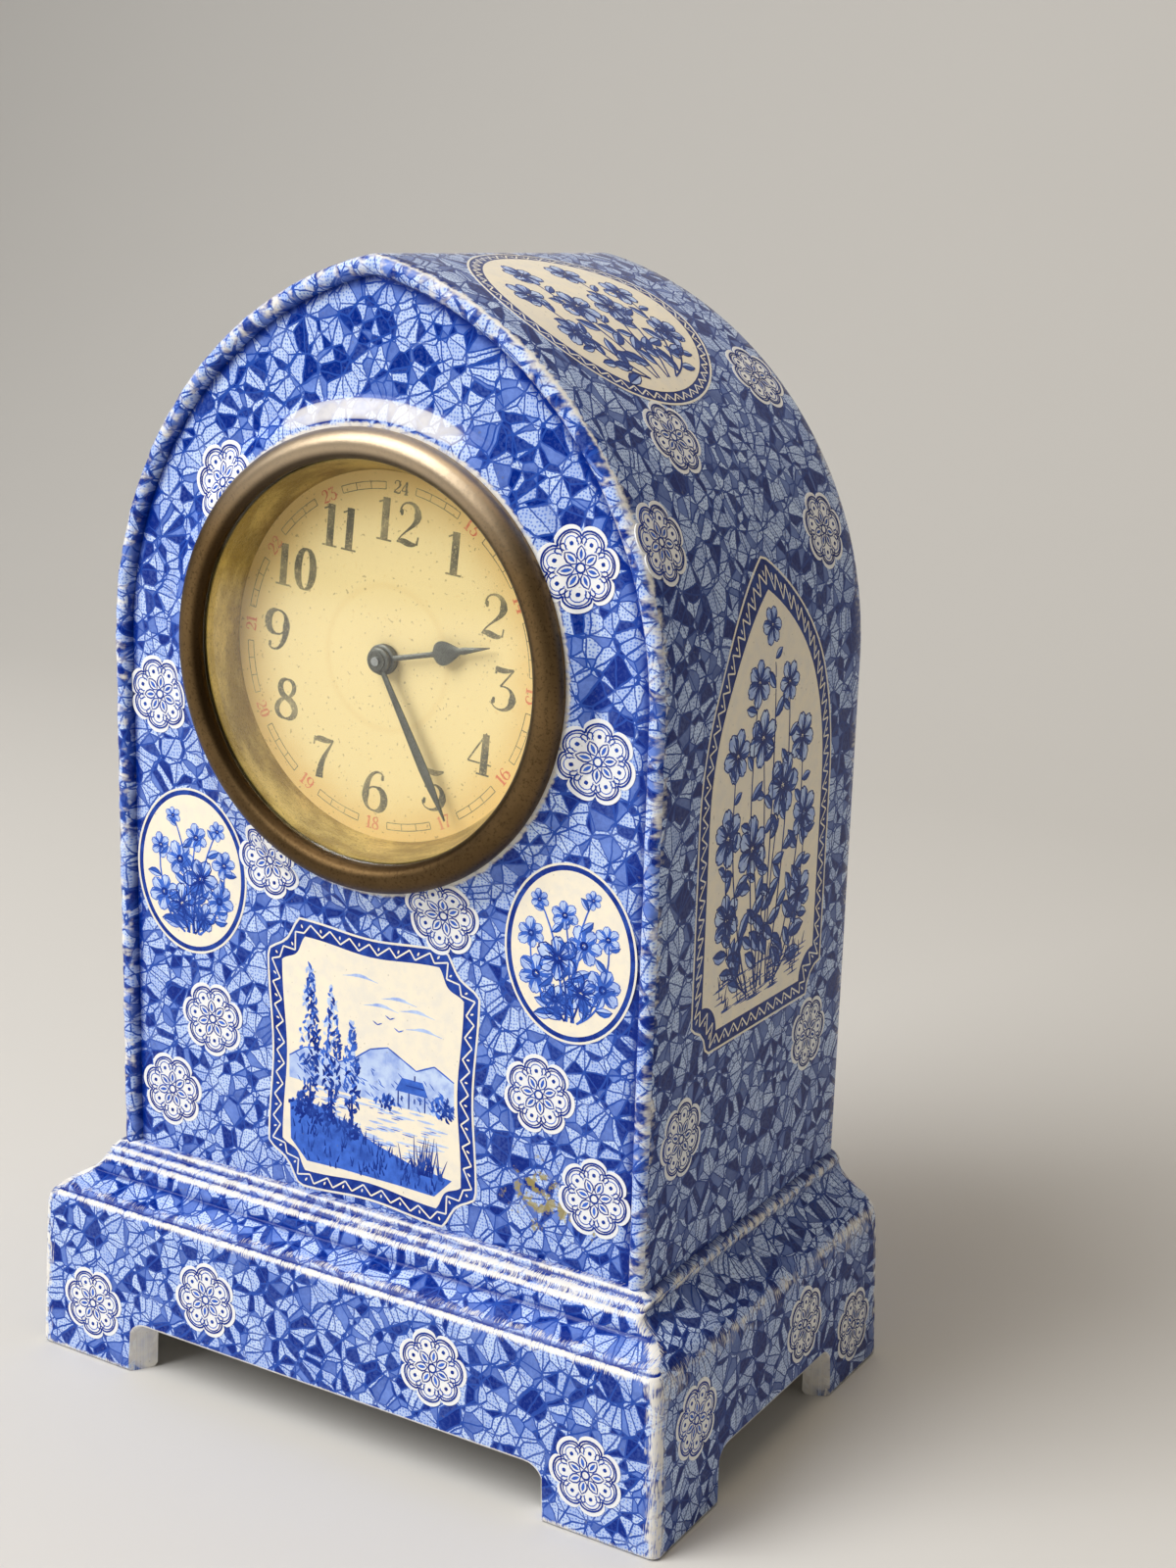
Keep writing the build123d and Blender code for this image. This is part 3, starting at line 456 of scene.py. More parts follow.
BACK_RINGS = [
    (56, 55.8, 0, 0, 0), (52.6, 55.8, 0.2, 0, 0), (51.6, 55.7, 0.7, 0, 0.4), (51.1, 55.3, 0.9, 0, 0.8),
    (51, 54.8, 0.6, 0, 1), (51, 53.5, 0, 0.4, 1),
    (47.3, 53.5, 0, 0, 1), (46.8, 53.1, 0, 0, 1), (46.8, 50.3, 0, 0, 1),
]

# Height, front depth, wear with painted sheen, pool of the plinth's face and its mouldings.
PLINTH_FACE = np.array(
    [
        (0.0, 56.2, 0.3, 0), (0.12, 56.9, 0.6, 0), (0.5, 57.35, 0.75, 0), (1.0, 57.47, 0.5, 0), (1.6, 57.45, 0.1, 0),
        (2.4, 57.43, 0, 0), (5, 57.35, 0, 0), (10, 57.2, 0, 0), (16, 57.03, 0, 0),
        (24, 56.8, 0, 0), (32, 56.55, 0, 0), (38, 56.37, 0, 0), (39.8, 56.32, 0.12, 0), (40.5, 56.22, 0.3, 0),
        (41.0, 56.05, 0.72, 0), (41.5, 55.65, 0.98, 0), (41.72, 55.2, 0.6, 0.2),
        (41.75, 54.85, 0, 1), (41.95, 54.6, 0, 1), (42.35, 54.45, 0.15, 0.4), (42.8, 54.1, 0.42, 0),
        (43.05, 53.5, 0.42, 0), (43.12, 52.8, 0.25, 0), (43.3, 52.1, 0.1, 0), (43.75, 51.0, 0, 0),
        (44.4, 49.7, 0, 0), (45.1, 48.4, 0, 0.2), (45.5, 47.75, 0, 0.8), (45.8, 47.45, 0, 1), (46.6, 47.3, 0, 0.3),
        (47.8, 47.05, 0, 0), (48.6, 46.85, 0.15, 0), (49.3, 46.5, 0.8, 0),
        (49.75, 46.0, 0.9, 0), (49.92, 45.4, 0.4, 0.2), (49.95, 45.1, 0, 1), (50.15, 44.85, 0, 1),
        (50.55, 44.65, 0.3, 0.3), (51.0, 44.2, 0.9, 0), (51.25, 43.6, 0.85, 0), (51.32, 43.0, 0.3, 0.3),
        (51.4, 42.6, 0, 0.9), (51.7, 42.3, 0, 0.9), (52.3, 42.05, 0.55, 0.1), (52.8, 41.85, 0.85, 0),
        (53.0, 41.3, 0.4, 0.4), (53.0, 38.0, 0, 1),
    ]
)
PLINTH_SIDE = np.array(
    [
        (0, 89.5), (36.5, 88.3), (38.6, 88.0), (40.5, 87.3), (42.2, 86.0), (43.5, 84.5), (44.5, 83.0), (46.1, 80.2),
        (47.8, 78.4), (49.2, 77.4), (50, 77.2),
        (50.7, 77.35), (51.3, 77.25), (51.9, 76.9), (52.4, 76.2), (52.8, 75.2), (53, 74.5),
    ]
)
PLINTH_INSIDE = np.array(
    [
        # height, half width, front, back
        (53, 69.2, 36, 50.2), (47, 69.4, 36.2, 50.2), (36, 82.3, 49, 50.3), (30, 82.5, 50.6, 50.6), (14, 83, 51, 51.1),
        (1.2, 83.4, 51.4, 51.4), (0.3, 84.0, 52.0, 52.0), (0.0, 85.0, 53.0, 53.0),
    ]
)


def foot_lift(across, foot_from, high=13.0, round_r=5.0):
    """Height of the gap between two feet: nothing at the feet, a steep side, a quarter round and a flat top."""
    d = foot_from - np.abs(across)
    quarter = high - round_r + np.sqrt(np.clip(round_r**2 - np.clip(round_r - d, 0, None) ** 2, 0, None))
    return np.where(d <= 0, 0.0, np.minimum(d / 0.35, 1.0) * quarter)


def side_stations(half, foot_from, count):
    """Places along one side of the plinth, close together where the foot gap turns."""
    turn = np.array([0.0, 0.12, 0.24, 0.36, 0.7, 1.2, 1.9, 2.8, 3.8, 5.0, 6.5])
    inner = foot_from - turn
    outer = np.linspace(half, foot_from, 12)[:-1]
    middle = np.linspace(-inner[-1], inner[-1], count)[1:-1]
    return np.concatenate((-outer, -inner, middle, inner[::-1], outer[::-1]))


def plinth(skin):
    """The plinth's closed profile carried round a rectangle with small round corners. Below the gap line heights are
    drawn up so that the foot gaps stay open."""
    runs = (PLINTH_FRONT_RUN, PLINTH_END_RUN)
    along_x, along_y = (side_stations(*run) / run[0] for run in runs)
    lift_x, lift_y = (foot_lift(along * run[0], run[1]) for along, run in zip((along_x, along_y), runs))
    none = np.zeros(CORNER_POINTS)
    lift = np.concatenate((lift_x, none, lift_y, none) * 2)[None, :]
    sizes = (len(along_x), CORNER_POINTS, len(along_y), CORNER_POINTS) * 2
    face_height, face_depth = PLINTH_FACE[:, 0], PLINTH_FACE[:, 1]
    z = np.concatenate((face_height, PLINTH_INSIDE[:, 0]))[:, None]
    outer = (np.arange(len(z)) < len(PLINTH_FACE))[:, None]
    zz = np.broadcast_to(z, (len(z), lift.shape[1]))
    high = np.where(zz < GAP_TOP, lift + zz * (GAP_TOP - lift) / GAP_TOP, zz)
    rounding = np.where(z < 2.5, PLINTH_DEEP - 0.03 * z - np.interp(z, face_height, face_depth), 0)
    lean = np.where(high < GAP_TOP, PLINTH_DEEP - PLINTH_LEAN * high, np.interp(high, face_height, face_depth))
    own = face_depth[np.minimum(np.arange(len(z)), len(PLINTH_FACE) - 1)][:, None]
    step = np.where(z < GAP_TOP, 0, own - np.interp(z, face_height, face_depth))
    inside = np.concatenate((np.zeros((len(PLINTH_FACE), 3)), PLINTH_INSIDE[:, 1:]))
    front = np.where(outer, lean + step - rounding, inside[:, 1:2])
    half = np.where(outer, np.interp(high, PLINTH_SIDE[:, 0], PLINTH_SIDE[:, 1]) - rounding, inside[:, :1])
    back = np.where(outer, np.interp(high, (0, 44, 53), (PLINTH_DEEP, 56.15, 55.5)) - rounding, inside[:, 2:])
    marks = np.concatenate(
        (
            np.column_stack((PLINTH_FACE[:, 2:], np.zeros(len(PLINTH_FACE)))),
            np.tile((0.0, 0, 1), (len(PLINTH_INSIDE), 1))
        )
    )
    corner = np.interp(z, (0, 40, 46, 53), (2.2, 2.2, 1.6, 1.2))
    turn = (np.arange(1, CORNER_POINTS + 1) * math.pi / (2 * CORNER_POINTS + 2))[None, :]
    cuts = np.cumsum((0, *sizes))
    part = [slice(a, b) for a, b in zip(cuts[:-1], cuts[1:])]
    cx, cf, cb = half - corner, front - corner, back - corner
    mid = (cb - cf) / 2
    reach = (cb + cf) / 2
    x = np.concatenate(
        (
            cx[:, part[0]] * along_x, cx[:, part[1]] + corner * np.sin(turn), half[:, part[2]],
            cx[:, part[3]] + corner * np.cos(turn), -cx[:, part[4]] * along_x, -cx[:, part[5]] - corner * np.sin(turn),
            -half[:, part[6]], -cx[:, part[7]] - corner * np.cos(turn)
        ),
        1
    )
    y = np.concatenate(
        (
            -front[:, part[0]], -cf[:, part[1]] - corner * np.cos(turn), mid[:, part[2]] + along_y * reach[:, part[2]],
            cb[:, part[3]] + corner * np.sin(turn), back[:, part[4]], cb[:, part[5]] + corner * np.cos(turn),
            mid[:, part[6]] - along_y * reach[:, part[6]], -cf[:, part[7]] - corner * np.sin(turn)
        ),
        1
    )
    grid = np.stack((x, y, high), -1)
    depth = np.concatenate((face_depth, PLINTH_INSIDE[:, 2]))
    run = (np.concatenate(([0], np.cumsum(np.hypot(np.diff(z[:, 0]), np.diff(depth))))) - z[:, 0])[:, None]
    up = PRINT_UNIT * (high + run)
    places = zip((x, y, x, y), MAP_PLINTH, (0, 2, 0, 2))
    maps = np.stack([np.stack((PRINT_UNIT * across + shift, up + rise), -1) for across, shift, rise in places])
    face = np.repeat((0, 0, 1, 1, 2, 2, 3, 3), sizes)
    all_marks = np.broadcast_to(marks[:, None], (*x.shape, 3)).copy()
    bow = np.stack(
        (
            np.interp(
                zz, (0, 0.5, 1.2, 36.8, 38.8, 40.2, 42.2, 49.7, 50.4, 51.9, 52.5),
                (0.4, 0.7, 0, 0, 0.5, 0.5, 0, 0, 0.85, 0.85, 0)
            ),
            np.interp(zz, (45.5, 48, 49.6, 50.2, 50.6, 52, 52.8), (0, 0, 0.35, 0.5, 0, 0, 0.9)), 0 * zz
        ),
        -1
    )
    bow[..., 0] *= np.where(zz > 49, 0.66 + 0.34 * np.sin(2.15 * y + 1.4 * np.sin(y / 5)), 1)
    patchy = (face == 0)[None, :] & (zz > 49) & (zz < 51.5) & outer
    all_marks[..., 0] = np.where(
        patchy, np.maximum(all_marks[..., 0], 0.27 + 0.13 * np.clip(x / 50, -1, 1)), all_marks[..., 0]
    )
    all_marks[..., 1] *= np.where(patchy, 0.8 - 0.2 * np.clip(x / 50, -1, 1), 1)
    swept = (np.isin(face, (1, 3))[None, :] & outer)[..., None]
    all_marks = np.where(swept, bow, all_marks)
    edge = np.repeat((0, 0.74) * 4, sizes)
    edge[np.concatenate((cuts[:-1:2], cuts[1::2] - 1))] = 0.46
    all_marks[..., 0] = np.maximum(all_marks[..., 0], edge * (zz > 0.2) * (all_marks[..., 1] < 0.5))
    lip = (lift > 0.05) & (zz < 1.3)
    all_marks[..., 2] = np.where(lip, 0.85, all_marks[..., 2])
    skin.add(grid, loop_rows=True, marks=all_marks.reshape(-1, 3), maps=maps, pick=face[None, :])


# ---------------------------------------------------------------- printed pieces


def on_front(u, v, lift):
    """The sunk front panel and the swell of its collar, by x and z; what would reach into the dial's opening stops
    under the bezel."""
    ring = np.array(FRONT_RINGS)
    ring = ring[ring[:, 0] > 50][::-1]
    far = np.hypot(u, v - DIAL_Z)
    out = np.maximum(far, UNDER_BEZEL) / np.maximum(far, 1e-6)
    swell = np.interp(far, ring[:, 0], ring[:, 1])
    return np.stack((u * out, swell - lift, DIAL_Z + (v - DIAL_Z) * out), -1)


def on_side(sign):
    """A side of the body, by depth and length along the outline: straight, then round the arch's circle."""

    def place(u, v, lift):
        turn = np.clip(v - SPRING_Z, 0, None) / ARCH_R
        x = np.where(v < SPRING_Z, BODY_HALF + lift, (ARCH_R + lift) * np.cos(turn) - ARCH_OFF)
        z = np.where(v < SPRING_Z, v, SPRING_Z + (ARCH_R + lift) * np.sin(turn))
        return np.stack((sign * x, u * sign, z), -1)

    return place


def on_plinth_front(u, v, lift):
    """The leaning face of the plinth, by x and z."""
    return np.stack((u, PLINTH_LEAN * v - PLINTH_DEEP - lift, v), -1)


def on_plinth_side(sign):
    """A leaning end of the plinth, by depth and height."""

    def place(u, v, lift):
        return np.stack((sign * (np.interp(v, PLINTH_SIDE[:, 0], PLINTH_SIDE[:, 1]) + lift), u * sign, v), -1)

    return place


def on_dial(u, v, lift):
    """The dial paper, which has slipped round a little clockwise."""
    c, s = math.cos(PAPER_TURN), math.sin(PAPER_TURN)
    return np.stack((u * c + v * s, DIAL_Y - lift + 0 * u, DIAL_Z - u * s + v * c), -1)


def slab(skin, host, centre, edge, low, high, rings=4):
    """A thin plate on a host surface: its outline drawn in ring by ring to the centre, above and below."""
    edge = np.asarray(edge, float)
    scale = np.concatenate((np.linspace(0.01, 1, rings), np.linspace(1, 0.01, rings)))[:, None]
    lift = np.repeat((low, high), rings)[:, None]
    skin.add(host(centre[0] + edge[:, 0] * scale, centre[1] + edge[:, 1] * scale, lift))


def strokes(skin, host, paths, widths, low, high, steps=7):
    """Closed ribbons on a host surface: cubic curves (n, 4, 2) with half-widths (n, 3) at start, middle and end. Each
    has its own height, a hair apart, so that no two that cross lie in one plane."""
    p, w = np.asarray(paths, float), np.asarray(widths, float)
    t = np.linspace(0, 1, steps)
    line = np.einsum("kt,nkc->ntc", np.stack(((1 - t) ** 3, 3 * t * (1 - t) ** 2, 3 * t * t * (1 - t), t**3)), p)
    along = np.einsum("kt,nkc->ntc", np.stack(((1 - t) ** 2, 2 * t * (1 - t), t * t)), np.diff(p, axis=1))
    along /= np.maximum(np.linalg.norm(along, axis=-1, keepdims=True), 1e-6)
    across = np.stack((-along[..., 1], along[..., 0]), -1)
    half = np.einsum("kt,nk->nt", np.stack(((1 - t) * (1 - 2 * t), 4 * t * (1 - t), t * (2 * t - 1))), w)
    half = np.maximum(half, 0.02)[..., None]
    a, b = line + across * half, line - across * half
    top = high + 0.012 * np.modf(np.abs(p[:, 0] @ (3.17, 7.93) + p[:, 3] @ (5.39, 1.71)))[0][:, None]
    corners = [host(q[..., 0], q[..., 1], h) for q, h in ((a, low), (b, low), (b, top), (a, top))]
    skin.add_tubes(np.stack(corners, 2))


def straight(a, b):
    """Cubic control points of straight lines from a to b, each (n, 2)."""
    a, b = np.asarray(a, float), np.asarray(b, float)
    return np.stack((a, a + (b - a) / 3, a + (b - a) * 2 / 3, b), -2)


def around(radius, start, stop, centre=(0, 0)):
    """Cubic control points of circle arcs, angles clockwise from the top."""
    radius, start, stop = np.broadcast_arrays(*(np.asarray(v, float) for v in (radius, start, stop)))
    k = (4 / 3 * np.tan((stop - start) / 4) * radius)[..., None]
    radius = radius[..., None]
    a, b = (np.stack((np.sin(v), np.cos(v)), -1) for v in (start, stop))
    ta, tb = (np.stack((np.cos(v), -np.sin(v)), -1) for v in (start, stop))
    return np.stack((a * radius, a * radius + ta * k, b * radius - tb * k, b * radius), -2) + np.asarray(centre)


def spin(paths, count, step=None):
    """Copies of control points turned evenly about the middle."""
    angle = np.arange(count) * (TAU / count if step is None else step)
    c, s = np.cos(angle), np.sin(angle)
    turn = np.stack((np.stack((c, s), -1), np.stack((-s, c), -1)), -2)
    return np.einsum("nkj,aji->anki", np.asarray(paths, float), turn).reshape(-1, 4, 2)


def mirrored(path):
    """A path and its mirror image, left for right."""
    return np.array(path) * np.array(((1, 1), (-1, 1)))[:, None]


def lobes(radius, count, depth, steps=14):
    """A scalloped outline: round lobes that meet in notches."""
    a = np.arange(count * steps) * TAU / (count * steps)
    r = radius * (1 - depth + depth * np.sqrt(np.abs(np.sin(count * a / 2)) + 1e-9))
    return np.stack((r * np.sin(a), r * np.cos(a)), -1)


class Print:
    """Printed work gathered by tone: dark, ivory and white grounds, and pale, mid and dark cobalt drawn over them. Each
    tone has its foot and its top, in millimetres over the glaze."""

    LAYERS = {
        "ground": (-0.15, 0.05), "ivory_line": (0.0, 0.075), "ivory": (-0.15, 0.09), "white": (-0.15, 0.09),
        "pale": (0.02, 0.105), "mid": (0.02, 0.12), "dark": (0.02, 0.135), "line": (0.02, 0.15)
    }

    def __init__(self):
        self.skins = {tone: Skin() for tone in self.LAYERS}

    def plate(self, tone, host, centre, edge, rings=4):
        slab(self.skins[tone], host, centre, edge, *self.LAYERS[tone], rings=rings)

    def draw(self, tone, host, paths, widths, centre=(0, 0), steps=7):
        paths = np.asarray(paths, float)
        widths = np.broadcast_to(np.asarray(widths, float), (len(paths), 3))
        strokes(self.skins[tone], host, paths + np.asarray(centre, float), widths, *self.LAYERS[tone], steps=steps)


def rosette(work, host, centre, size=9.4, turn=0.0, rings=3):
    """A white scalloped medallion: a dark line inside its edge, seven lobes with a seed in each, a ring of pointed
    petals and an eye."""
    c, s = math.cos(turn), math.sin(turn)
    count = 7

    def tilt(q):
        return np.asarray(q, float) @ np.array(((c, -s), (s, c)))

    work.plate("white", host, centre, tilt(lobes(size, count, 0.2)), rings)
    rim = spaced(tilt(lobes(size * 0.88, count, 0.2)), 63)
    work.draw("line", host, straight(rim[:-1], rim[1:]), (0.2, 0.2, 0.2), centre, 3)
    step = TAU / count
    lobe_at = np.array((math.sin(step / 2), math.cos(step / 2)))
    ring = around(
        size * 0.27, step / 2 + np.array((-1.9, -0.6, 0.7)), step / 2 + np.array((-0.6, 0.7, 1.9))
    ) + lobe_at * size * 0.56
    work.draw("dark", host, tilt(spin(ring, count)), (0.11, 0.16, 0.11), centre, 5)
    inner = around(
        size * 0.17, step / 2 + np.array((-2.2, -0.75, 0.75)), step / 2 + np.array((-0.75, 0.75, 2.2))
    ) + lobe_at * size * 0.58
    work.draw("mid", host, tilt(spin(inner, count)), (0.09, 0.12, 0.09), centre, 4)
    seed = straight([lobe_at * size * 0.54], [lobe_at * size * 0.63])
    work.draw("dark", host, tilt(spin(seed, count)), (0.28, 0.46, 0.28), centre, 4)
    curl = mirrored([(0.05, 0.52), (0.16, 0.56), (0.15, 0.72), (0.04, 0.70)]) * size
    work.draw("dark", host, tilt(spin(curl, count)), (0.07, 0.14, 0.16), centre, 4)
    petal = mirrored([(0, 0.14), (0.16, 0.22), (0.14, 0.4), (0, 0.5)]) * size
    work.draw("dark", host, tilt(spin(petal, count)), (0.09, 0.17, 0.09), centre, 5)
    vein = straight([(0, 0.2 * size)], [(0, 0.42 * size)])
    work.draw("mid", host, tilt(spin(vein, count)), (0.08, 0.4, 0.08), centre, 4)
    eye = around(size * 0.11, np.arange(3) * TAU / 3, np.arange(1, 4) * TAU / 3)
    work.draw("dark", host, tilt(eye), (0.2, 0.24, 0.2), centre, 5)


def spaced(edge, count):
    """Points evenly spaced along a closed outline, as a closed run."""
    closed = np.vstack((edge, edge[:1]))
    run = np.concatenate(([0], np.cumsum(np.linalg.norm(np.diff(closed, axis=0), axis=1))))
    at = np.linspace(0, run[-1], count + 1)
    return np.stack((np.interp(at, run, closed[:, 0]), np.interp(at, run, closed[:, 1])), -1)


def reserve(work, host, centre, outline, border, points, rings):
    """An ivory panel in a dark border with a thin ivory line round it, which carries a row of points; a plain border
    where there are none. The outline is a function of how far it is drawn in."""
    work.plate("ground", host, centre, outline(0), rings)
    work.plate("ivory", host, centre, outline(border), rings)
    halo = spaced(outline(-0.35), 110)
    work.draw("ivory_line", host, straight(halo[:-1], halo[1:]), (0.26, 0.26, 0.26), centre, 3)
    if points:
        outer, inner = (spaced(outline(border * k), 2 * points) for k in (0.2, 0.8))
        teeth = np.where((np.arange(2 * points + 1) % 2)[:, None], outer, inner)
        work.draw("ivory_line", host, straight(teeth[:-1], teeth[1:]), (0.2, 0.2, 0.2), centre, 3)
        seed = straight(outer * 0.85 + inner * 0.15, outer * 0.5 + inner * 0.5)[:-1:2]
        work.draw("ivory_line", host, seed, (0.12, 0.26, 0.12), centre, 3)


def sprig(work, host, root, tip, bow, leaves, leaf, bloom=None, seed=0, ink="dark"):
    """A bowed stem with veined leaves set alternately along it, and an open flower at its end."""
    rng = np.random.default_rng(seed)
    root, tip = np.asarray(root, float), np.asarray(tip, float)
    along = tip - root
    across = np.array((along[1], -along[0]))
    stem = np.array([root, root + along * 0.35 + across * bow, root + along * 0.7 + across * bow, tip])
    work.draw(ink, host, [stem], (0.26, 0.24, 0.16), steps=9)
    t = np.linspace(0.14, 0.9, leaves)[:, None]
    at = (1 - t) ** 3 * stem[0] + 3 * t * (1 - t) ** 2 * stem[1] + 3 * t * t * (1 - t) * stem[2] + t**3 * stem[3]
    heading = math.atan2(along[0], along[1]) + np.where(
        np.arange(leaves) % 2, 0.95, -0.95
    ) + rng.uniform(-0.35, 0.35, leaves)
    size = leaf * rng.uniform(0.75, 1.1, leaves) * (1.1 - 0.45 * t[:, 0])
    ahead = np.stack((np.sin(heading), np.cos(heading)), -1) * size[:, None]
    beside = np.stack((np.cos(heading), -np.sin(heading)), -1) * size[:, None]
    blade = straight(at, at + ahead)
    bend = (beside * rng.uniform(-0.16, 0.16, leaves)[:, None])[:, None] * np.array((0, 0.6, 1, 0.6))[None, :, None]
    blade = blade + bend
    work.draw("pale", host, blade, np.outer(size, (0.03, 0.23, 0.015)), steps=6)
    half = blade + beside[:, None] * 0.1 * np.array((0, 1, 1, 0))[None, :, None]
    work.draw("mid", host, half, np.outer(size, (0.02, 0.12, 0.01)), steps=6)
    for side in (0.3, -0.3):
        rim = blade + beside[:, None] * side * np.array((0, 1, 1, 0))[None, :, None]
        work.draw(ink, host, rim, np.outer(size, (0.015, 0.022 if side < 0 else 0.045, 0.012)), steps=5)
    work.draw("dark", host, blade, np.outer(size, (0.025, 0.02, 0.01)), steps=4)
    if bloom:
        blossom(work, host, tip, bloom, seed, ink)


def bunch(work, host, centre, stems, foot, spread, leaf, seed):
    """Sprigs that rise from one foot, where they stand closer together than at their tips."""
    for k, (tip, bow, leaves, bloom) in enumerate(stems):
        sprig(work, host, centre + (spread * tip[0], -foot), centre + tip, bow, leaves, leaf, bloom, seed + k)


def blossom(work, host, centre, size, seed=0, ink="dark"):
    """An open flower: six round petals, each a pale blade with dark edges and hatched at its root, and a seeded eye."""
    rng = np.random.default_rng(seed + 100)
    count = 6
    angle = rng.uniform(0, TAU) + np.arange(count) * TAU / count + rng.uniform(-0.1, 0.1, count)
    far = size * rng.uniform(0.9, 1.05, count)[:, None, None]
    c, s = np.cos(angle), np.sin(angle)
    turn = np.stack((np.stack((c, -s), -1), np.stack((s, c), -1)), -2)

    def petals(*paths):
        return np.concatenate([np.einsum("kj,nji->nki", np.asarray(q, float), turn) * far for q in paths])

    reach = far[:, 0]
    work.draw("pale", host, petals([(0, 0.12), (0, 0.4), (0, 0.7), (0, 0.97)]), reach * (0.1, 0.36, 0.22), centre, 6)
    work.draw(
        "mid", host, petals([(0.03, 0.12), (0.12, 0.3), (0.26, 0.5), (0.2, 0.85)]), reach * (0.05, 0.1, 0.02), centre, 5
    )
    sides = mirrored([(0, 0.14), (0.24, 0.2), (0.55, 0.75), (0.14, 0.98)])
    tips = mirrored([(-0.14, 0.98), (-0.06, 1.03), (-0.02, 0.97), (0, 0.92)])
    edges = petals(*sides, *tips)
    work.draw(ink, host, edges, np.tile(reach, (4, 1)) * (0.02, 0.034, 0.02), centre, 5)
    hatch = petals(
        [(0.0, 0.2), (0, 0.35), (0, 0.5), (0, 0.66)], [(0.07, 0.2), (0.12, 0.3), (0.16, 0.4), (0.19, 0.55)],
        [(-0.07, 0.2), (-0.12, 0.3), (-0.15, 0.36), (-0.17, 0.45)]
    )
    work.draw(ink, host, hatch, np.tile(reach, (3, 1)) * (0.04, 0.026, 0.01), centre, 4)
    ring = around(size * 0.17, np.arange(4) * TAU / 4, np.arange(1, 5) * TAU / 4)
    work.draw("line", host, ring, size * np.array((0.05, 0.07, 0.05)), centre, 4)
    spot = np.stack((np.sin(angle), np.cos(angle)), -1) * size * 0.07
    work.draw("line", host, straight(spot, spot * 1.5), size * np.array((0.02, 0.03, 0.02)), centre, 3)


def foliage(work, host, centre, wide, high, count, seed, light=0.0):
    """A mass of short bent leaf strokes scattered over an oval, paler toward its upper left and darker toward its
    foot."""
    rng = np.random.default_rng(seed)
    turn, reach = rng.uniform(0, TAU, count), np.sqrt(rng.uniform(0, 1, count))
    at = np.stack((reach * np.cos(turn) * wide, reach * np.sin(turn) * high), -1)
    at[:, 0] *= 1 - 0.55 * np.clip(at[:, 1] / high, 0, 1)
    heading = rng.uniform(0.5, 2.6, count)
    ahead = np.stack((np.cos(heading), np.sin(heading)), -1) * rng.uniform(0.5, 1.1, count)[:, None]
    bend = np.stack((-ahead[:, 1], ahead[:, 0]), -1) * rng.uniform(-0.5, 0.5, count)[:, None]
    path = straight(at - ahead, at + ahead) + bend[:, None] * np.array((0, 1, 1, 0))[None, :, None]
    weight = 0.8 * at[:, 0] / wide - 0.5 * at[:, 1] / high + rng.uniform(-1, 1, count) + light
    for tone, low, top in (("pale", -9, -0.25), ("mid", -0.25, 0.55), ("dark", 0.55, 9)):
        chosen = (weight >= low) & (weight < top)
        work.draw(tone, host, path[chosen], (0.12, 0.36, 0.08), centre, 4)


def scatter(rng, count, left, right, low, high):
    """Random places in a box."""
    return np.stack((rng.uniform(left, right, count), rng.uniform(low, high, count)), -1)


def ground_hatch(work, host, centre, wide, high, count, seed):
    """Short level strokes and upright blades that stand for grass at the foot of a plant."""
    rng = np.random.default_rng(seed)
    at = np.stack((rng.uniform(-1, 1, count) * wide, rng.uniform(-1, 0, count) * high), -1)
    at[:, 0] *= np.sqrt(np.clip(1 - (at[:, 1] / (1.6 * high)) ** 2, 0, 1))
    run = rng.uniform(1.0, 3.2, count)[:, None] * (1, 0.06)
    work.draw("mid", host, straight(at - run, at + run), (0.05, 0.2, 0.05), centre, 3)
    blade = at + scatter(rng, count, -1.2, 1.2, 1.5, 4.0)
    work.draw("dark", host, straight(at, blade), (0.2, 0.16, 0.04), centre, 3)


def ellipse(a, b, steps=72):
    """An oval outline."""
    t = np.arange(steps) * TAU / steps
    return np.stack((a * np.sin(t), b * np.cos(t)), -1)


def lancet_panel(a, up, shoulder, down, bite, steps=22):
    """A pointed panel: upright sides, two arcs that meet at the top, and a foot with hollow corners."""
    rise = up - shoulder
    radius = (a * a + rise * rise) / (2 * a)
    turn = np.linspace(0, math.asin(rise / radius), steps)
    bend = np.linspace(0, math.pi / 2, 10)
    foot = np.stack((a - bite * np.sin(bend), -down + bite * np.cos(bend)), -1)[::-1]
    side = np.stack((np.full(steps, a), np.linspace(-down + bite, shoulder, steps)), -1)[1:]
    arch = np.stack((a - radius + radius * np.cos(turn), shoulder + radius * np.sin(turn)), -1)[1:]
    half = np.vstack((foot, side, arch))
    base = np.stack((np.linspace(-(a - bite), a - bite, steps)[1:-1], np.full(steps - 2, -down)), -1)
    return np.vstack((half, (half * (-1, 1))[-2::-1], base))


def eight_sided(a, b, cut, dip, steps=14):
    """A panel with cut corners whose sides bow in a little."""
    corner = np.array(
        [
            (-a + cut, b), (a - cut, b), (a, b - cut), (a, -b + cut), (a - cut, -b), (-a + cut, -b), (-a, -b + cut),
            (-a, b - cut)
        ]
    )
    nxt = np.roll(corner, -1, 0)
    t = np.linspace(0, 1, steps, endpoint=False)[None, :, None]
    line = corner[:, None] + (nxt - corner)[:, None] * t
    inward = -line / np.linalg.norm(line, axis=-1, keepdims=True)
    return (line + inward * dip * np.sin(np.pi * t) ** 2).reshape(-1, 2)


# --------------------------------------------------------------------- numerals

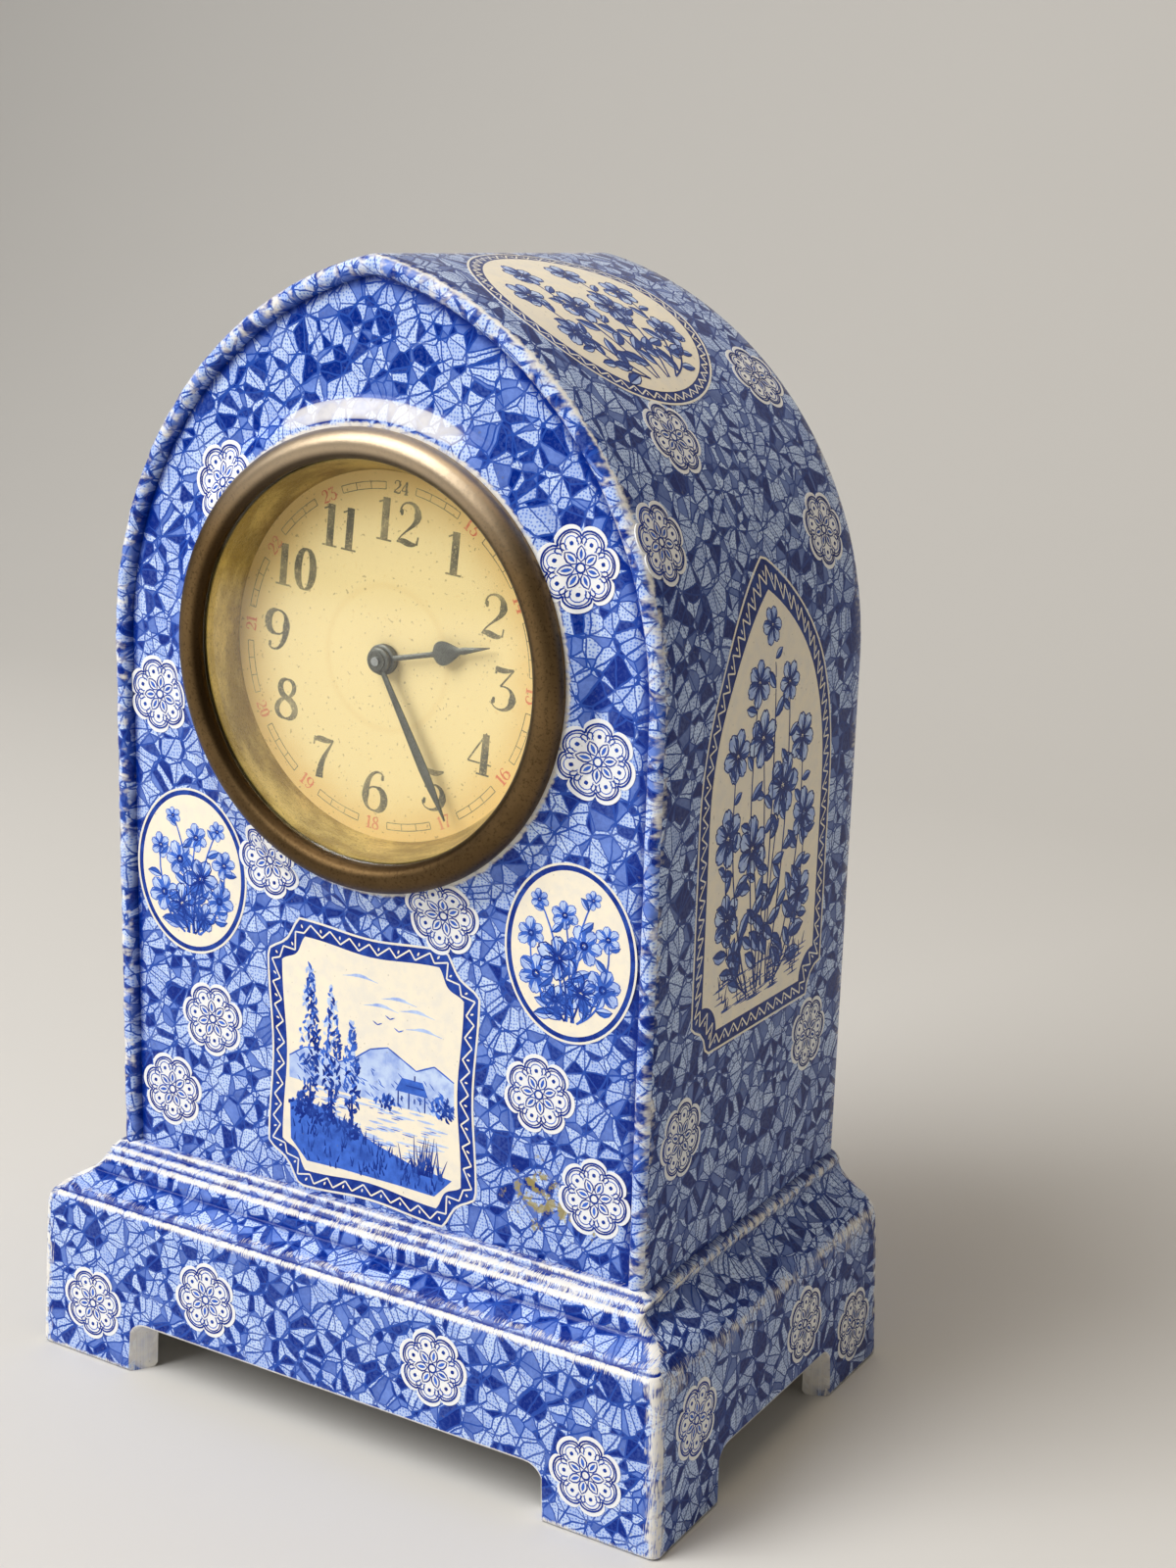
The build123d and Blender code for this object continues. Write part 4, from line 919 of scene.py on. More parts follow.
# Half-widths of heavy and light strokes, for a height of one; each stroke has four control points and its half-widths.
THICK, THIN = 0.104, 0.021
DIGITS = {
    "0": [
        ((0.31, 0.985), (0.04, 0.985), (0.04, 0.015), (0.31, 0.015), (THIN, THICK, THIN)),
        ((0.31, 0.985), (0.58, 0.985), (0.58, 0.015), (0.31, 0.015), (THIN, THICK, THIN))
    ],
    "1": [
        ((0.31, 0.0), (0.31, 0.33), (0.31, 0.66), (0.31, 0.99), (0.1, 0.1, 0.1)),
        ((0.33, 0.975), (0.26, 0.94), (0.2, 0.89), (0.12, 0.86), (0.03, 0.02, THIN)),
        ((0.12, 0.014), (0.25, 0.014), (0.37, 0.014), (0.5, 0.014), (THIN, THIN, THIN))
    ],
    "2": [
        ((0.10, 0.72), (0.06, 1.06), (0.56, 1.08), (0.54, 0.70), (0.03, 0.03, THICK)),
        ((0.54, 0.70), (0.54, 0.46), (0.16, 0.30), (0.07, 0.03), (THICK, 0.03, THIN)),
        ((0.07, 0.045), (0.22, 0.15), (0.36, -0.03), (0.56, 0.07), (0.02, 0.075, 0.02)),
        ((0.56, 0.05), (0.57, 0.1), (0.58, 0.16), (0.585, 0.24), (0.03, 0.02, THIN)),
        ((0.10, 0.735), (0.12, 0.735), (0.14, 0.735), (0.17, 0.735), (0.05, 0.075, 0.05))
    ],
    "3": [
        ((0.12, 0.99), (0.12, 0.93), (0.12, 0.88), (0.12, 0.82), (0.02, 0.03, THIN)),
        ((0.11, 0.94), (0.25, 0.90), (0.4, 0.93), (0.54, 0.985), (0.06, 0.06, THIN)),
        ((0.54, 0.985), (0.45, 0.83), (0.35, 0.70), (0.25, 0.55), (THIN, THIN, THIN)),
        ((0.25, 0.55), (0.42, 0.60), (0.58, 0.50), (0.57, 0.29), (THIN, 0.03, THICK)),
        ((0.57, 0.29), (0.55, -0.07), (0.06, -0.06), (0.07, 0.20), (THICK, 0.025, 0.02)),
        ((0.08, 0.2), (0.1, 0.2), (0.13, 0.2), (0.15, 0.2), (0.05, 0.075, 0.05))
    ],
    "4": [
        ((0.44, 1.0), (0.3, 0.76), (0.16, 0.52), (0.03, 0.27), (0.02, THIN, THIN)),
        ((0.03, 0.27), (0.22, 0.27), (0.41, 0.27), (0.61, 0.27), (0.018, 0.018, 0.018)),
        ((0.43, 0.0), (0.43, 0.33), (0.43, 0.66), (0.43, 0.97), (0.098, 0.098, 0.088)),
        ((0.26, 0.014), (0.37, 0.014), (0.48, 0.014), (0.58, 0.014), (THIN, THIN, THIN))
    ],
    "5": [
        ((0.12, 0.95), (0.26, 0.88), (0.42, 0.92), (0.54, 1.0), (0.05, 0.065, THIN)),
        ((0.13, 0.97), (0.125, 0.82), (0.12, 0.67), (0.11, 0.52), (THIN, THIN, THIN)),
        ((0.11, 0.52), (0.28, 0.72), (0.58, 0.66), (0.57, 0.33), (THIN, 0.03, THICK)),
        ((0.57, 0.33), (0.56, -0.06), (0.06, -0.06), (0.07, 0.20), (THICK, 0.025, 0.02)),
        ((0.08, 0.2), (0.1, 0.2), (0.13, 0.2), (0.15, 0.2), (0.05, 0.075, 0.05))
    ],
    "6": [
        ((0.50, 0.90), (0.40, 1.06), (0.06, 1.0), (0.06, 0.36), (0.02, 0.035, THICK)),
        ((0.06, 0.36), (0.06, 0.10), (0.16, 0.015), (0.32, 0.015), (THICK, 0.04, THIN)),
        ((0.32, 0.015), (0.64, 0.015), (0.64, 0.60), (0.32, 0.60), (THIN, THICK, THIN)),
        ((0.32, 0.60), (0.18, 0.60), (0.10, 0.50), (0.07, 0.36), (THIN, THIN, 0.02)),
        ((0.44, 0.86), (0.46, 0.86), (0.48, 0.86), (0.51, 0.86), (0.05, 0.07, 0.05))
    ],
    "7": [
        ((0.07, 0.90), (0.22, 1.02), (0.38, 0.88), (0.57, 0.985), (0.04, 0.075, THIN)),
        ((0.08, 0.99), (0.075, 0.92), (0.07, 0.85), (0.065, 0.78), (0.02, 0.02, THIN)),
        ((0.57, 0.985), (0.48, 0.72), (0.26, 0.50), (0.27, 0.0), (0.018, 0.055, 0.11))
    ],
    "8": [
        ((0.31, 0.985), (0.06, 0.985), (0.06, 0.60), (0.31, 0.53), (THIN, 0.08, 0.07)),
        ((0.31, 0.53), (0.66, 0.42), (0.62, 0.015), (0.31, 0.015), (0.07, 0.09, THIN)),
        ((0.31, 0.985), (0.56, 0.985), (0.56, 0.63), (0.31, 0.53), (THIN, 0.062, THIN)),
        ((0.31, 0.53), (-0.02, 0.42), (0.0, 0.015), (0.31, 0.015), (THIN, 0.072, THIN))
    ],
}
DIGITS["9"] = [tuple((0.62 - x, 1 - y) for x, y in stroke[:4]) + (stroke[4],) for stroke in DIGITS["6"]]
ADVANCE = {"1": 0.5}


def number(text, height):
    """Strokes of a number, centred on its own middle: control points and half-widths."""
    wide = [ADVANCE.get(d, 0.66) for d in text]
    start = np.concatenate(([0], np.cumsum(wide)))
    paths, widths = [], []
    for digit, left, room in zip(text, start, wide):
        for stroke in DIGITS[digit]:
            paths.append(np.array(stroke[:4]) + (left + room / 2 - 0.31 - start[-1] / 2, -0.5))
            widths.append(stroke[4])
    return np.array(paths) * (1.1 * height, height), np.array(widths) * height


# -------------------------------------------------------------------- materials


class Nodes:
    """Short hand for building shader nodes."""

    def __init__(self, tree):
        self.tree = tree

    def add(self, kind, sockets=None, **settings):
        node = self.tree.nodes.new("ShaderNode" + kind)
        for key, value in settings.items():
            setattr(node, key, value)
        for key, value in (sockets or {}).items():
            self.put(node.inputs[key], value)
        return node

    def put(self, socket, value):
        if isinstance(value, bpy.types.NodeSocket):
            self.tree.links.new(value, socket)
        elif socket.type == "RGBA" and len(value) == 3:
            socket.default_value = (*value, 1)
        else:
            socket.default_value = value

    def math(self, operation, *values):
        node = self.add("Math", operation=operation)
        for socket, value in zip(node.inputs, values):
            self.put(socket, value)
        return node.outputs[0]

    def times(self, a, b):
        return self.math("MULTIPLY", a, b)

    def madd(self, a, b, c):
        """The first two multiplied, and the third added."""
        return self.math("MULTIPLY_ADD", a, b, c)

    def vector(self, operation, *values):
        """A sum on vectors; a length comes out as a number."""
        node = self.add("VectorMath", dict(enumerate(values)), operation=operation)
        return node.outputs["Value" if operation == "LENGTH" else "Vector"]

    def part(self, vector, axis):
        return self.add("SeparateXYZ", {0: vector}).outputs[axis]

    def mix(self, factor, a, b):
        node = self.add("Mix", data_type="RGBA", clamp_factor=True)
        for socket, value in zip((node.inputs[0], node.inputs[6], node.inputs[7]), (factor, a, b)):
            self.put(socket, value)
        return node.outputs[2]

    def step(self, value, low, high, a=0.0, b=1.0):
        """A smooth rise of a value between two limits."""
        node = self.add(
            "MapRange", {"Value": value, "From Min": low, "From Max": high, "To Min": a, "To Max": b},
            interpolation_type="SMOOTHSTEP"
        )
        return node.outputs[0]

    def noise(self, vector, scale, detail=2.0, rough=0.5, flat=False):
        return self.add(
            "TexNoise", {"Vector": vector, "Scale": scale, "Detail": detail, "Roughness": rough},
            noise_dimensions="2D" if flat else "3D"
        ).outputs[0]

    def mark(self, name):
        return self.add("Attribute", attribute_name=name).outputs["Fac"]

    def place(self):
        return self.add("TexCoord").outputs["Object"]

    def uv(self):
        return self.add("UVMap", uv_map="print").outputs[0]


def group(name, inputs, outputs):
    """An empty shader node group with named sockets, its builder and its ends."""
    tree = bpy.data.node_groups.new(name, "ShaderNodeTree")
    for direction, sockets in (("INPUT", inputs), ("OUTPUT", outputs)):
        for socket, kind in sockets.items():
            tree.interface.new_socket(socket, in_out=direction, socket_type="NodeSocket" + kind)
    nodes = Nodes(tree)
    return tree, nodes, tree.nodes.new("NodeGroupInput"), tree.nodes.new("NodeGroupOutput")


def cracked_ice_group():
    """Three-sided facets: each cell of scattered points is cut by which other point lies second nearest. Gives a tone
    for each facet, the joins between facets, fine stipple, a shade that falls off from the facet's root, and the cloud
    and grain of a hand-laid wash."""
    name = "Cracked ice"
    if name in bpy.data.node_groups:
        return bpy.data.node_groups[name]
    tree, n, start, end = group(
        name, {"Vector": "Vector", "Size": "Float"},
        {"Tone": "Float", "Line": "Float", "Stipple": "Float", "Fall": "Float", "Cloud": "Float", "Grain": "Float"}
    )
    plain, size = start.outputs["Vector"], start.outputs["Size"]
    scale = n.math("DIVIDE", 1.0, size)
    drawn = n.add("TexNoise", {"Vector": plain, "Scale": 34.0, "Detail": 1.0}, noise_dimensions="2D").outputs["Color"]
    at = n.vector("MULTIPLY_ADD", drawn, (0.006, 0.006, 0), plain)

    def facet(shift):
        where = n.vector("ADD", at, shift)
        first, second = (
            n.add(
                "TexVoronoi", {"Vector": where, "Scale": scale, "Randomness": 1.0}, voronoi_dimensions="2D",
                feature=kind
            ).outputs for kind in ("F1", "F2")
        )
        key = n.vector("MULTIPLY_ADD", first["Color"], (17.3, 29.1, 11.7), second["Color"])
        return n.add("TexWhiteNoise", {"Vector": key}, noise_dimensions="3D").outputs["Value"], first["Distance"]

    tone, root = facet((0, 0, 0))
    steps = [
        n.math("ABSOLUTE", n.math("SUBTRACT", tone, facet(shift)[0])) for shift in ((0.0034, 0, 0), (0, 0.0034, 0))
    ]
    n.put(end.inputs["Tone"], tone)
    n.put(end.inputs["Line"], n.math("GREATER_THAN", n.math("MAXIMUM", *steps), 0.00001))
    dots = n.add(
        "TexVoronoi", {"Vector": at, "Scale": 128.0, "Randomness": 0.5}, voronoi_dimensions="2D", feature="F1"
    ).outputs["Distance"]
    n.put(end.inputs["Stipple"], n.step(dots, 0.2, 0.36, 1.0, 0.0))
    n.put(end.inputs["Fall"], n.step(root, 0.05, 0.62))
    n.put(end.inputs["Cloud"], n.noise(at, 16.0, 2.0, 0.5, True))
    n.put(end.inputs["Grain"], n.step(n.noise(plain, 105.0, 2.0, 0.6, True), 0.3, 0.7))
    return tree


def glaze_skin_group():
    """Slight unevenness of a thick glaze, and its fine crazing and specks."""
    name = "Glaze skin"
    if name in bpy.data.node_groups:
        return bpy.data.node_groups[name]
    tree, n, start, end = group(
        name, {"Vector": "Vector", "Roughness": "Float"}, {"Height": "Float", "Roughness": "Float", "Speck": "Float"}
    )
    at = start.outputs["Vector"]
    swell = n.noise(at, 70.0, 2.0)
    fine = n.noise(at, 420.0, 2.0)
    n.put(end.inputs["Height"], n.madd(fine, 0.12, swell))
    n.put(
        end.inputs["Roughness"],
        n.madd(n.noise(at, 160.0, 3.0), 0.12, n.math("SUBTRACT", start.outputs["Roughness"], 0.06))
    )
    speck = n.noise(at, 900.0, 1.0)
    n.put(end.inputs["Speck"], n.step(speck, 0.70, 0.78))
    return tree


def stained_metal_group():
    """Fine turning marks, speckled tarnish and rubbed patches of an old metal."""
    name = "Stained metal"
    if name in bpy.data.node_groups:
        return bpy.data.node_groups[name]
    tree, n, start, end = group(
        name, {"Vector": "Vector", "Roughness": "Float", "Size": "Float"},
        {"Tarnish": "Float", "Speck": "Float", "Roughness": "Float", "Height": "Float"}
    )
    at, size = start.outputs["Vector"], start.outputs["Size"]
    patch = n.noise(at, n.times(size, 60.0), 4.0, 0.6)
    speck = n.noise(at, n.times(size, 1400.0), 2.0, 0.7)
    n.put(end.inputs["Tarnish"], n.step(patch, 0.35, 0.68))
    n.put(end.inputs["Speck"], n.step(speck, 0.5, 0.72))
    n.put(
        end.inputs["Roughness"],
        n.math("ADD", start.outputs["Roughness"], n.madd(patch, 0.2, n.madd(speck, 0.16, -0.17)))
    )
    n.put(end.inputs["Height"], n.madd(speck, 0.5, n.noise(at, n.times(size, 300.0), 3.0)))
    return tree


def material(name):
    """A new material with its builder, Principled shader and output."""
    mat = bpy.data.materials.new(name)
    mat.use_nodes = True
    mat.node_tree.nodes.clear()
    n = Nodes(mat.node_tree)
    shader = n.add("BsdfPrincipled")
    out = n.add("OutputMaterial", {"Surface": shader.outputs[0]})
    return mat, n, shader, out


def finish_glaze(n, shader, colour_socket, rough):
    """Gives a glazed material its colour, gloss and uneven surface."""
    skin = n.add("Group", node_tree=glaze_skin_group())
    n.put(skin.inputs["Vector"], n.place())
    n.put(skin.inputs["Roughness"], rough)
    bump = n.add("Bump", {"Strength": 0.10, "Distance": 0.0006, "Height": skin.outputs["Height"]})
    n.put(shader.inputs["Base Color"], n.mix(n.times(skin.outputs["Speck"], 0.35), colour_socket, shade(120, 116, 110)))
    n.put(shader.inputs["Roughness"], skin.outputs["Roughness"])
    n.put(shader.inputs["Normal"], bump.outputs[0])
    shader.inputs["Specular IOR Level"].default_value = 0.16


def old_stain(n, blue):
    """A yellowish stain low on the right of the front, where the glaze has discoloured."""
    off = n.add("Mapping", {"Vector": n.place(), "Location": (-0.05, 0, -0.0675)}).outputs[0]
    near = n.vector("ADD", off, (0, 0.0405, 0))
    front = n.step(n.math("ABSOLUTE", n.part(near, 1)), 0.002, 0.004, 1.0, 0.0)
    flat = n.vector("MULTIPLY", off, (44.0, 0, 66.0))
    wide = n.vector("LENGTH", flat)
    patch = n.times(n.noise(n.place(), 250.0, 4.0, 0.7), n.step(wide, 0.3, 1.5, 1.0, 0.0))
    blot = n.step(patch, 0.49, 0.56)
    return n.mix(n.times(n.times(blot, front), 0.8), blue, shade(172, 156, 70))


# Tones of the facets above which they are washed over, and above which they are dark.
WASH_FROM, DARK_FROM = 0.58, 0.75


def printed_glaze(glaze):
    """The cracked-ice print under a worn glossy glaze, with painted shade on the sides and painted highlights on the
    rim's edge and the collar's top.
    """
    mat, n, shader, _ = material("Blue printed glaze")
    ice = n.add("Group", node_tree=cracked_ice_group())
    n.put(ice.inputs["Vector"], n.uv())
    ice.inputs["Size"].default_value = glaze.facet * 10
    tone, cloud = ice.outputs["Tone"], ice.outputs["Cloud"]
    # The side mask picks the body's sides and the plinth's ends; there the dark and mid cobalt are darkened as painted
    # shade, with a deeper print.
    across = n.part(n.uv(), 0)
    from_to = [n.step(across, at - 0.1, at + 0.1) for at in MAP_STEPS]
    side = n.math(
        "ADD", n.math("SUBTRACT", from_to[0], from_to[1]),
        n.math("ADD", n.math("SUBTRACT", from_to[2], from_to[3]), from_to[4])
    )
    deep = n.times(side, glaze.deep)
    dark, mid = (n.mix(deep, tuple(c), SIDE_SHADE_COBALT) for c in (glaze.dark, glaze.mid))
    pale = tuple(glaze.pale)
    own = n.math("FRACT", n.times(tone, 57.0))
    grain = ice.outputs["Grain"]
    stippled = n.mix(n.times(ice.outputs["Stipple"], 0.72), n.mix(n.times(own, 0.36), pale, mid), mid)
    wash = n.mix(
        n.times(n.madd(own, 0.5, n.madd(ice.outputs["Fall"], 0.25, n.times(grain, 0.25))), 0.58),
        n.mix(0.22, mid, pale), dark
    )
    shaded = n.mix(n.step(tone, WASH_FROM - 0.001, WASH_FROM + 0.001), stippled, wash)
    shaded = n.mix(
        n.times(n.step(tone, DARK_FROM - 0.001, DARK_FROM + 0.001), n.madd(own, 0.2, n.madd(grain, 0.22, 0.7))), shaded,
        dark
    )
    shaded = n.mix(n.step(cloud, 0.5, 0.8, 0.0, 0.16), shaded, mid)
    inked = n.mix(n.times(ice.outputs["Line"], n.step(cloud, 0.25, 0.6, 0.8, 1.0)), shaded, n.mix(0.6, mid, dark))
    rub = n.noise(n.place(), 330.0, 2.0, 0.6)
    smear = n.noise(n.place(), 60.0, 2.0, 0.6)
    pooled = n.mix(n.times(n.mark("pool"), n.step(rub, 0.25, 0.6, 0.45, 0.95)), inked, dark)
    body = n.step(n.part(n.place(), 2), (BODY_FOOT - 0.5) * MM, (BODY_FOOT + 0.5) * MM)
    way = n.mix(body, (330.0, 36.0, 0), (48.0, 90.0, 0))
    streak = n.noise(n.vector("MULTIPLY", n.uv(), way), 1.0, 2.0, 0.5, True)
    ragged = n.madd(rub, 1.0, n.madd(smear, 0.7, n.madd(streak, -1.45, -0.12)))
    # Wear and bare glaze, which also carry painted highlights: the line on the rim's right edge and the crescent on the
    # collar's top.
    rubbed = n.math("ADD", n.mark("wear_and_sheen"), n.times(ragged, n.step(n.mark("wear_and_sheen"), 0.0, 0.25)))
    worn = n.step(rubbed, n.madd(body, -0.15, 0.25), n.madd(body, 0.2, 0.85))
    plain = n.times(n.step(n.mark("bare"), 0.34, 0.48), n.madd(n.mark("bare"), 0.75, 0.22))
    bare = n.math("MAXIMUM", n.times(worn, 0.92), n.times(plain, n.step(rub, 0.2, 0.6, 0.8, 1.0)))
    finish_glaze(n, shader, n.mix(bare, old_stain(n, pooled), tuple(glaze.bare)), glaze.gloss)
    return mat


def plain_print(name, glaze, tone, other, amount, deep=0.0):
    """One tone of hand-printed cobalt or plain ivory, a little uneven, under the same glaze; darkened behind the front
    if asked, as painted shade on the sides together with a deeper print there."""
    mat, n, shader, _ = material(name)
    cloud = n.noise(n.place(), 330.0, 3.0, 0.6)
    wide = n.noise(n.place(), 45.0, 2.0)
    mixed = n.mix(n.times(n.step(cloud, 0.35, 0.72), amount), tuple(tone), tuple(other))
    mixed = n.mix(n.times(n.step(wide, 0.4, 0.7), amount * 0.5), mixed, tuple(other))
    if deep:
        # Painted shade: prints behind the front face are darkened toward the shaded cobalt.
        painted_side_shade = n.step(n.part(n.place(), 1), -0.039, -0.026, 0.0, deep)
        mixed = n.mix(painted_side_shade, mixed, SIDE_SHADE_COBALT)
    finish_glaze(n, shader, mixed, glaze.gloss)
    return mat


def axis_place(n):
    """Place seen from the dial's axis: the place itself, its part across the axis and its distance from it."""
    at = n.vector("SUBTRACT", n.place(), (0, 0, DIAL_Z * MM))
    flat = n.vector("MULTIPLY", at, (1, 0, 1))
    return at, flat, n.vector("LENGTH", flat)


def lathe_place(n):
    """Place on a piece turned about the dial's axis, drawn out along the turn: a short step round it, a long one in
    depth and radius."""
    at, flat, radius = axis_place(n)
    way = n.add("VectorMath", {0: n.vector("NORMALIZE", flat), 3: 0.02}, operation="SCALE").outputs[0]
    drawn = n.add("CombineXYZ", {1: n.madd(radius, 4.0, n.times(n.part(at, 1), 3.0))}).outputs[0]
    return n.vector("ADD", way, drawn)


def metal(name, base, bright, dark, rough, size=1.0, shine=1.0, bump=0.15, lathe=False):
    """A stained, finely marked metal, with its marks drawn out round the dial's axis if it is turned on a lathe."""
    mat, n, shader, _ = material(name)
    old = n.add("Group", node_tree=stained_metal_group())
    n.put(old.inputs["Vector"], lathe_place(n) if lathe else n.place())
    old.inputs["Roughness"].default_value = rough
    old.inputs["Size"].default_value = size
    mixed = n.mix(old.outputs["Tarnish"], tuple(base), tuple(bright))
    mixed = n.mix(n.times(old.outputs["Speck"], 0.6), mixed, tuple(dark))
    n.put(shader.inputs["Base Color"], mixed)
    n.put(shader.inputs["Roughness"], old.outputs["Roughness"])
    shader.inputs["Metallic"].default_value = shine
    n.put(
        shader.inputs["Normal"],
        n.add("Bump", {"Strength": bump, "Distance": 0.0003, "Height": old.outputs["Height"]}).outputs[0]
    )
    return mat


# edge holds the radii and strength of the crevice band, low the painted shade toward the foot, rubbed the painted
# highlight on the top.
def grimed(mat, edge, low, rubbed):
    """Paints light and shade on a ring turned about the dial's axis: a painted highlight on its upper part, painted
    shade toward its foot, and a dark band at the given radii that is patina with painted shade in the crevice."""
    n = Nodes(mat.node_tree)
    at, _, radius = axis_place(n)
    high = n.part(at, 2)
    # Patina and painted shade: a dark band in the crevice by radius, and painted shade toward the foot by height.
    crevice_patina_and_shade = n.math("MAXIMUM", n.step(radius, *edge), n.step(high, -0.048, 0.01, low, 0.0))
    colour_in = mat.node_tree.nodes["Principled BSDF"].inputs["Base Color"]
    # Painted highlight: the upper part of the ring made brighter, as if lit from above.
    bright = n.mix(n.step(high, 0.022, 0.048, 0.0, rubbed), colour_in.links[0].from_socket, shade(214, 196, 170))
    n.put(colour_in, n.mix(crevice_patina_and_shade, bright, shade(38, 24, 9)))


def dial_paper(dial):
    """Cream paper, browner toward its edge, with a faint turned ring, fibre and foxing."""
    mat, n, shader, _ = material("Dial paper")
    at, _, radius = axis_place(n)
    stain = n.noise(at, 55.0, 4.0, 0.6)
    edge = n.step(n.madd(stain, 0.012, radius), 0.034, 0.0485)
    tint = n.mix(n.times(edge, 0.75), tuple(dial.paper), tuple(dial.foxed))
    ghost = n.times(n.step(radius, 0.0150, 0.0162), n.step(radius, 0.0178, 0.0163))
    tint = n.mix(n.times(ghost, 0.16), tint, tuple(dial.foxed))
    tint = n.mix(n.times(n.step(n.noise(at, 900.0, 2.0, 0.6), 0.6, 0.75), 0.3), tint, tuple(dial.foxed))
    tint = n.mix(n.step(n.noise(at, 1500.0, 0.0), 0.78, 0.82, 0.0, 0.45), tint, shade(120, 84, 48))
    n.put(shader.inputs["Base Color"], tint)
    shader.inputs["Roughness"].default_value = 0.75
    n.put(
        shader.inputs["Normal"],
        n.add("Bump", {"Strength": 0.12, "Distance": 0.0002, "Height": n.noise(at, 1800.0, 3.0)}).outputs[0]
    )
    return mat


def worn_ink(name, ink, paper, amount):
    """Old printer's ink with specks of paper showing through."""
    mat, n, shader, _ = material(name)
    speck = n.step(n.noise(n.place(), 2600.0, 2.0, 0.6), 0.5, 0.72)
    patch = n.step(n.noise(n.place(), 120.0, 2.0), 0.35, 0.75)
    n.put(shader.inputs["Base Color"], n.mix(n.madd(speck, 0.35, n.times(patch, amount)), tuple(ink), tuple(paper)))
    shader.inputs["Roughness"].default_value = 0.7
    return mat


def window_glass():
    """Clear glass that lets light through to the dial, with a slight film of dust."""
    mat, n, shader, out = material("Dial glass")
    shader.inputs["Base Color"].default_value = (0.97, 0.985, 0.975, 1)
    shader.inputs["Transmission Weight"].default_value = 1.0
    shader.inputs["IOR"].default_value = 1.45
    film = n.noise(n.place(), 60.0, 3.0)
    n.put(shader.inputs["Roughness"], n.step(film, 0.35, 0.8, 0.02, 0.07))
    clear = n.add("BsdfTransparent", {"Color": (0.96, 0.97, 0.96)})
    path = n.add("LightPath")
    unlit = n.math("MAXIMUM", path.outputs["Is Shadow Ray"], path.outputs["Is Diffuse Ray"])
    blend = n.add("MixShader", {0: unlit, 1: shader.outputs[0], 2: clear.outputs[0]})
    n.put(out.inputs["Surface"], blend.outputs[0])
    return mat


# -------------------------------------------------------------------- operators


class CLOCK_OT_case(bpy.types.Operator):
    """Makes the glazed case: wall and rim, front panel with its collar, back and plinth"""

    bl_idname = "clock.case"
    bl_label = "Glazed case"

    def execute(self, context):
        glaze = context.scene.clock_glaze
        skin = Skin()
        wall_and_rim(skin, glaze.rope / MM)
        plate(skin, FRONT_LOOPS, FRONT_RINGS, -34.5, 5.4)
        plate(skin, BACK_LOOPS, BACK_RINGS, 50.2, 5.4)
        plinth(skin)
        piece("glazed_case", skin, printed_glaze(glaze), "case", ("ceramic_case",), sharp=50)
        return {"FINISHED"}


